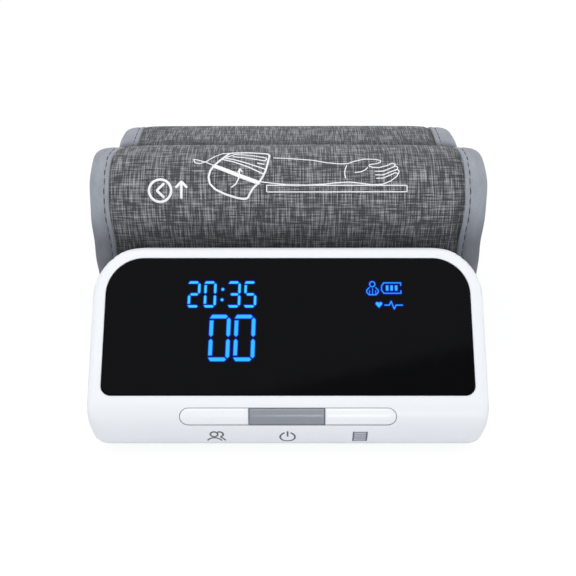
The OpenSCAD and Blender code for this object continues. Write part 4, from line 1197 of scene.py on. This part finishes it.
def place_soft(piece, bodies, nodes):
    """Lets a piece of the band follow one body; a piece over a hinge only has its place baked into
    its mesh.
    """
    if nodes:
        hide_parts(*nodes)
    if bodies == "low hinge":
        a, b = metres([on_band(0, LOW_HINGE + 6.5, 0), on_band(0, LOW_HINGE - 6.5, 0)])
        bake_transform(piece)
    elif bodies == "high hinge":
        a, b = metres([on_band(0, HIGH_HINGE + 6.0, 0), on_band(0, HIGH_HINGE - 6.0, 0)])
        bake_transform(piece)
    else:
        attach(piece, bodies)


HEM_TUCK = 0.6
STRETCHES = [("front", FLOOR_SEAM, INNER_END - HEM_TUCK, "monitor",
              ("cuff_outer_cloth", "cuff_liner", "cuff_binding")),
             ("back", BACK_SEAM, FLOOR_SEAM, "low hinge",
              ("back_lap_cloth", "back_lap_liner", "back_lap_binding")),
             ("outer_lap", TIP_END + HEM_TUCK, BACK_SEAM, "high hinge",
              ("tip_lap_cloth", "tip_lap_liner", "tip_lap_binding"))]


def make_cuff():
    """The band's outer cloth, liner and bound edges, in the three stretches they are sewn from."""
    inner = EDGE_X - TAPE_W + 1.0

    def liner_face(x, s):
        return (-HALF_T + 0.5 * (1 - step_between(inner - np.abs(x), 1.8, 4.8))
                + 0.05 * ripple(x, s))

    for name, s0, s1, body, (cloth_node, liner_node, binding_node) in STRETCHES:
        cloth = band_strip(name + "_cloth", s0, s1, inner, cloth_top, at_level(CORE_AT + 0.02),
                           CLOTH)
        place_soft(cloth, body, (cloth_node,))
        low = LINER_AT if name == "front" else BLADDER_AT
        liner = band_strip(name + "_liner", s0, s1, inner, at_level(low - 0.02), liner_face,
                           LINER, 30, 46)
        place_soft(liner, body, (liner_node,))
        for side, hand in ((-1, "left"), (1, "right")):
            tape = band_tape(f"{name}_tape_{hand}", s0, s1, side)
            place_soft(tape, body, (binding_node,))


HEM_CORNER, HEM_OVER = 3.4, 0.12


def end_hem(name, s_end, way, body):
    """A narrow folded hem over an end of the band: way points off the end."""
    section = [(-2.4, 3.22), (-1.6, 3.42), (-0.5, 3.3), (0.25, 2.6), (0.6, 1.2), (0.62, -1.2),
               (0.25, -2.6), (-0.5, -3.2), (-1.6, -3.3), (-2.4, -3.15), (-2.3, -2.5),
               (-0.2, -2.2), (-0.1, 2.2), (-2.3, 2.5)]
    corner = EDGE_X + HEM_OVER - HEM_CORNER * (1 - np.cos(np.linspace(0, math.pi / 2, 9)))
    xs = np.concatenate([-corner, np.linspace(-corner[-1], corner[-1], 50)[1:-1], corner[::-1]])
    rings, flat = [], []
    for x in xs:
        # The hem closes round the binding's ends at both corners.
        inward = min((EDGE_X + HEM_OVER - abs(x)) / HEM_CORNER, 1.0)
        full = max(math.sqrt(1 - (1 - inward) ** 2), 0.04)
        s = np.array([s_end + way * (a - HEM_TUCK) for a, _ in section])
        ring = on_band(np.full(len(section), x), np.clip(s, TIP_END, INNER_END),
                       [-0.1 + (o + 0.1) * full for _, o in section])
        over = s - np.clip(s, TIP_END, INNER_END)
        wy, wz = np.interp(s, RUN, WAY[:, 0]), np.interp(s, RUN, WAY[:, 1])
        ring[:, 1] += wy * over
        ring[:, 2] += wz * over
        rings.append(ring)
        flat.append([(x, a + o, 0) for a, o in section])
    points, faces = loft(rings)
    hem = make_piece(name, points, faces, HEM, sharp=60, values={"cloth_place": np.vstack(flat)})
    place_soft(hem, body, ())


PATCH_HALF_W, PATCH_FOOT, PATCH_TOP = 59.5, 3.1, 3.86


def make_layers():
    """The formed core sheets, the air bladder and the two halves of the fastening."""
    for name, s0, s1, body, node in (
            ("core_sheet", LOW_HINGE + 8, INNER_END - 2, "monitor", "cuff_core_sheet"),
            ("back_lap_core_sheet", HIGH_HINGE + 7, LOW_HINGE - 8, "back_lap", "back_lap_core"),
            ("tip_lap_core_sheet", TIP_END + 2, HIGH_HINGE - 7, "tip_lap", "tip_lap_core")):
        sheet = band_strip(name, s0, s1, 64.2, at_level(CORE_AT - 0.04),
                           at_level(BLADDER_AT + 0.04), CORE, 24, 12, 2.5)
        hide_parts(node)
        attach(sheet, body)
    weld = lambda x: step_between(59.0 - np.abs(x), 0.0, 5.0)
    bladder = band_strip("air_bladder", -33.0, 143.0, 59.0,
                         lambda x, s: -0.4 + 0.72 * weld(x), lambda x, s: -0.5 - 0.62 * weld(x),
                         BLADDER, 40, 40, 2.5)
    place_soft(bladder, "monitor", ("cuff_bladder",))
    loop = band_strip("loop_fastening", 102.0, 143.6, PATCH_HALF_W,
                      lambda x, s: PATCH_TOP + 0.03 * np.sin(x * 2.1) * np.sin(s * 1.9),
                      at_level(PATCH_FOOT), LOOP, 60, 12)
    place_soft(loop, "monitor", ("loop_patch",))
    hook = band_strip("hook_fastening", TIP_END + 1.6, HIGH_HINGE - 6.5, PATCH_HALF_W,
                      at_level(-PATCH_FOOT),
                      lambda x, s: -PATCH_TOP + 0.03 * np.sin(x * 2.3) * np.sin(s * 2.0),
                      HOOK, 12, 60)
    place_soft(hook, "tip_lap", ("hook_patch",))


# ---- Stitches -------------------------------------------------------------------------------


STITCH = {"Pitch": 0.0036, "Length": 0.0026, "Thickness": 0.0004}


def stitch_tree():
    """Stitches laid at one pitch along a line, each a short thread that lies along it."""
    tree = bpy.data.node_groups.new("stitch row", "GeometryNodeTree")
    socket = tree.interface.new_socket
    socket("Geometry", in_out="INPUT", socket_type="NodeSocketGeometry")
    for label, value in STITCH.items():
        socket(label, in_out="INPUT", socket_type="NodeSocketFloat").default_value = value
    socket("Thread", in_out="INPUT", socket_type="NodeSocketMaterial")
    socket("Geometry", in_out="OUTPUT", socket_type="NodeSocketGeometry")
    n = Nodes(tree)
    given = n.add("NodeGroupInput").outputs
    line = n.add("GeometryNodeMeshToCurve", {"Mesh": given["Geometry"]}).outputs[0]
    even = n.add("GeometryNodeResampleCurve", {"Curve": line, "Length": given["Pitch"]},
                 mode="LENGTH")
    ball = n.add("GeometryNodeMeshUVSphere", {"Segments": 8, "Rings": 6, "Radius": 0.5})
    way = n.add("GeometryNodeInputTangent").outputs[0]
    turn = n.add("FunctionNodeAlignRotationToVector", {"Vector": way}, axis="X")
    size = n.vector(given["Length"], given["Thickness"], given["Thickness"])
    spread = n.add("GeometryNodeInstanceOnPoints",
                   {"Points": even.outputs[0], "Instance": ball.outputs["Mesh"],
                    "Rotation": turn.outputs[0], "Scale": size})
    real = n.add("GeometryNodeRealizeInstances", {"Geometry": spread.outputs[0]})
    smooth = n.add("GeometryNodeSetShadeSmooth", {"Geometry": real.outputs[0]})
    painted = n.add("GeometryNodeSetMaterial",
                    {"Geometry": smooth.outputs[0], "Material": given["Thread"]})
    n.add("NodeGroupOutput", {0: painted.outputs[0]})
    return tree


def make_stitches():
    """A row of stitches near the inner edge of the binding, on both edges and both faces."""
    tree = stitch_tree()
    wanted = {**STITCH, "Thread": THREAD}
    for name, s0, s1, body, _ in STRETCHES:
        points, edges = [], []
        for side in (-1, 1):
            for out in (2.56, -3.0):
                s = np.arange(s0 + 1.2, s1 - 1.0, 0.6)
                x = side * (EDGE_X - tape_wide(side, s) * 6.0 / TAPE_W + 0.14 * np.sin(s * 1.1))
                row = on_band(x, s, np.full(len(s), out))
                edges += [(len(points) + i, len(points) + i + 1) for i in range(len(s) - 1)]
                points += list(row)
        mesh = bpy.data.meshes.new(name + "_stitches")
        mesh.from_pydata(metres(points).tolist(), edges, [])
        rows = add_object(name + "_stitches", mesh)
        sewn = rows.modifiers.new("stitches", "NODES")
        sewn.node_group = tree
        for item in tree.interface.items_tree:
            if item.in_out == "INPUT" and item.name in wanted:
                sewn[item.identifier] = wanted[item.name]
        swap_mesh(rows)
        place_soft(rows, body, ())


# ---- Print on the cloth ---------------------------------------------------------------------

# Lines of the arm-and-cuff sign, across and up over the bump. They follow the photographed sign,
# whose corners and bends were read and then turned into millimetres.
CUFF_EDGE = [
    [(-27, 9.3), (-28.3, 7.1), (-28.8, 4.7), (-28.3, 2.1), (-26.3, 0.1), (-22.7, -1.6),
     (-18.5, -2.9), (-15.7, -3.3), (-14.5, -2.9), (-13.7, -1.2), (-12.6, 0.6), (-10.6, 2.5),
     (-9.2, 4.7), (-8.1, 7.4), (-7.4, 10.6), (-6.8, 14.5), (-7.3, 15.6), (-8.7, 15.9),
     (-14.3, 16.5), (-19.9, 16.2), (-21.4, 16), (-23, 14.1), (-24.9, 11.8), (-27, 9.3)]]
CUFF_STRIPES = [
    [(-24.2, 12.4), (-19.9, 11.1), (-14.8, 8.9), (-9, 5.9)],
    [(-23.2, 13), (-19.3, 12.1), (-14.3, 10.2), (-8.2, 7.8)],
    [(-22.7, 13.4), (-19.6, 15.2), (-13.7, 14.7), (-8, 13.2), (-7.8, 12.3), (-8.7, 11.7),
     (-14.8, 13.1), (-20.2, 13.9)],
    [(-11.2, 10.6), (-8.8, 10)],
    [(-20.4, 0.9), (-18.9, 2), (-17.9, 4.1), (-17.5, 7.7)],
    [(-18.2, 6.6), (-17.5, 8.2), (-16.7, 6.7)]]
CUFF_SEAM = [[(-26.9, 9.2), (-22.1, 7.1), (-16.5, 4.7), (-10.7, 2.5)]]
SHOULDER = [
    [(-21.4, 16), (-24.2, 15.7), (-26.9, 13.9), (-30.1, 11.1), (-32.2, 10.2), (-34, 10.6),
     (-34.7, 12.5), (-30.5, 11.1), (-27, 9.3)]]
FOREARM = [
    [(-5.3, 13.3), (0.3, 12.9), (8.7, 12), (14.3, 10.7), (19.3, 10.1), (22, 10.3), (24.5, 11.5),
     (28.3, 12.5), (32.2, 12.4), (34, 11.8), (33.8, 10.8), (31.9, 10.2), (29.8, 9.8), (29.5, 9.1),
     (30.8, 8.6), (33.3, 8.5), (36.1, 9.4), (38.2, 10.6), (39.3, 10), (38.8, 9.2)],
    [(-10.2, 2.9), (-5.3, 2.3), (-0.3, 1.8), (7, 1.7), (13.2, 2), (17.1, 2.5), (22.1, 2.8),
     (26, 2.4), (30.5, 1.8), (34.4, 2), (37.2, 3.2), (39.5, 4.9), (40.4, 6.8)],
    [(21.4, 9.3), (20.8, 7.7), (20.6, 5.9), (20.9, 4.3)]]
FINGERS = [
    [(24.4, 6.5), (26.5, 6.7), (28.1, 7.5), (29, 8.5)],
    [(31.8, 6.9), (34.6, 7), (37, 8.1), (39.4, 9.2), (40.1, 8.6), (39.7, 7.8)],
    [(31.8, 5.5), (34.6, 5.5), (37.2, 6.7), (39.9, 7.8), (40.5, 6.9)],
    [(32.1, 4.2), (34.6, 4.3), (36.8, 5.3), (39, 6.4), (39.8, 6.1)]]
TABLE = [[(-7.7, 1.6), (43.1, 1.6), (43.1, -0.7), (-7.7, -0.8), (-7.7, 1.6)]]
PRINT_MIDDLE, PRINT_SHRINK = 46.6, 1.196


def make_print():
    """The cuff's guidance signs as photographed, but with an arrow in place of the word."""
    def on_cloth(x, up, lift):
        s = PRINT_MIDDLE + up / PRINT_SHRINK
        return tuple(on_band(x, s, cloth_top(x, s) + 0.04 + lift))

    arrows = [circle(-46.3, -0.3, 4.0, steps=60), [(-45.0, 2.1), (-47.5, -0.3), (-45.0, -2.6)],
              [(-38.6, -2.9), (-38.6, 2.7)], [(-40.5, 0.9), (-38.6, 2.9), (-36.7, 0.9)]]
    for label, lines, width in (("round_sign_print", arrows, 0.95),
                                ("cuff_sign_print", CUFF_EDGE, 0.75),
                                ("cuff_sign_stripes", CUFF_STRIPES, 0.5),
                                ("cuff_sign_seam", CUFF_SEAM, 1.6),
                                ("arm_sign_print", SHOULDER + FOREARM + FINGERS + TABLE, 0.42)):
        points, faces, flat = ribbon(lines, width, on_cloth)
        mark = make_piece(label, points, faces, CLOTH_PRINT, values={"cloth_place": flat})
        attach(mark, "monitor")


make_housing()
make_window()
make_figures()
make_keys()
make_key_signs()
make_cuff()
end_hem("outer_end_hem", TIP_END, -1, "tip_lap")
end_hem("inner_end_hem", INNER_END, 1, "monitor")
make_layers()
make_stitches()
make_print()
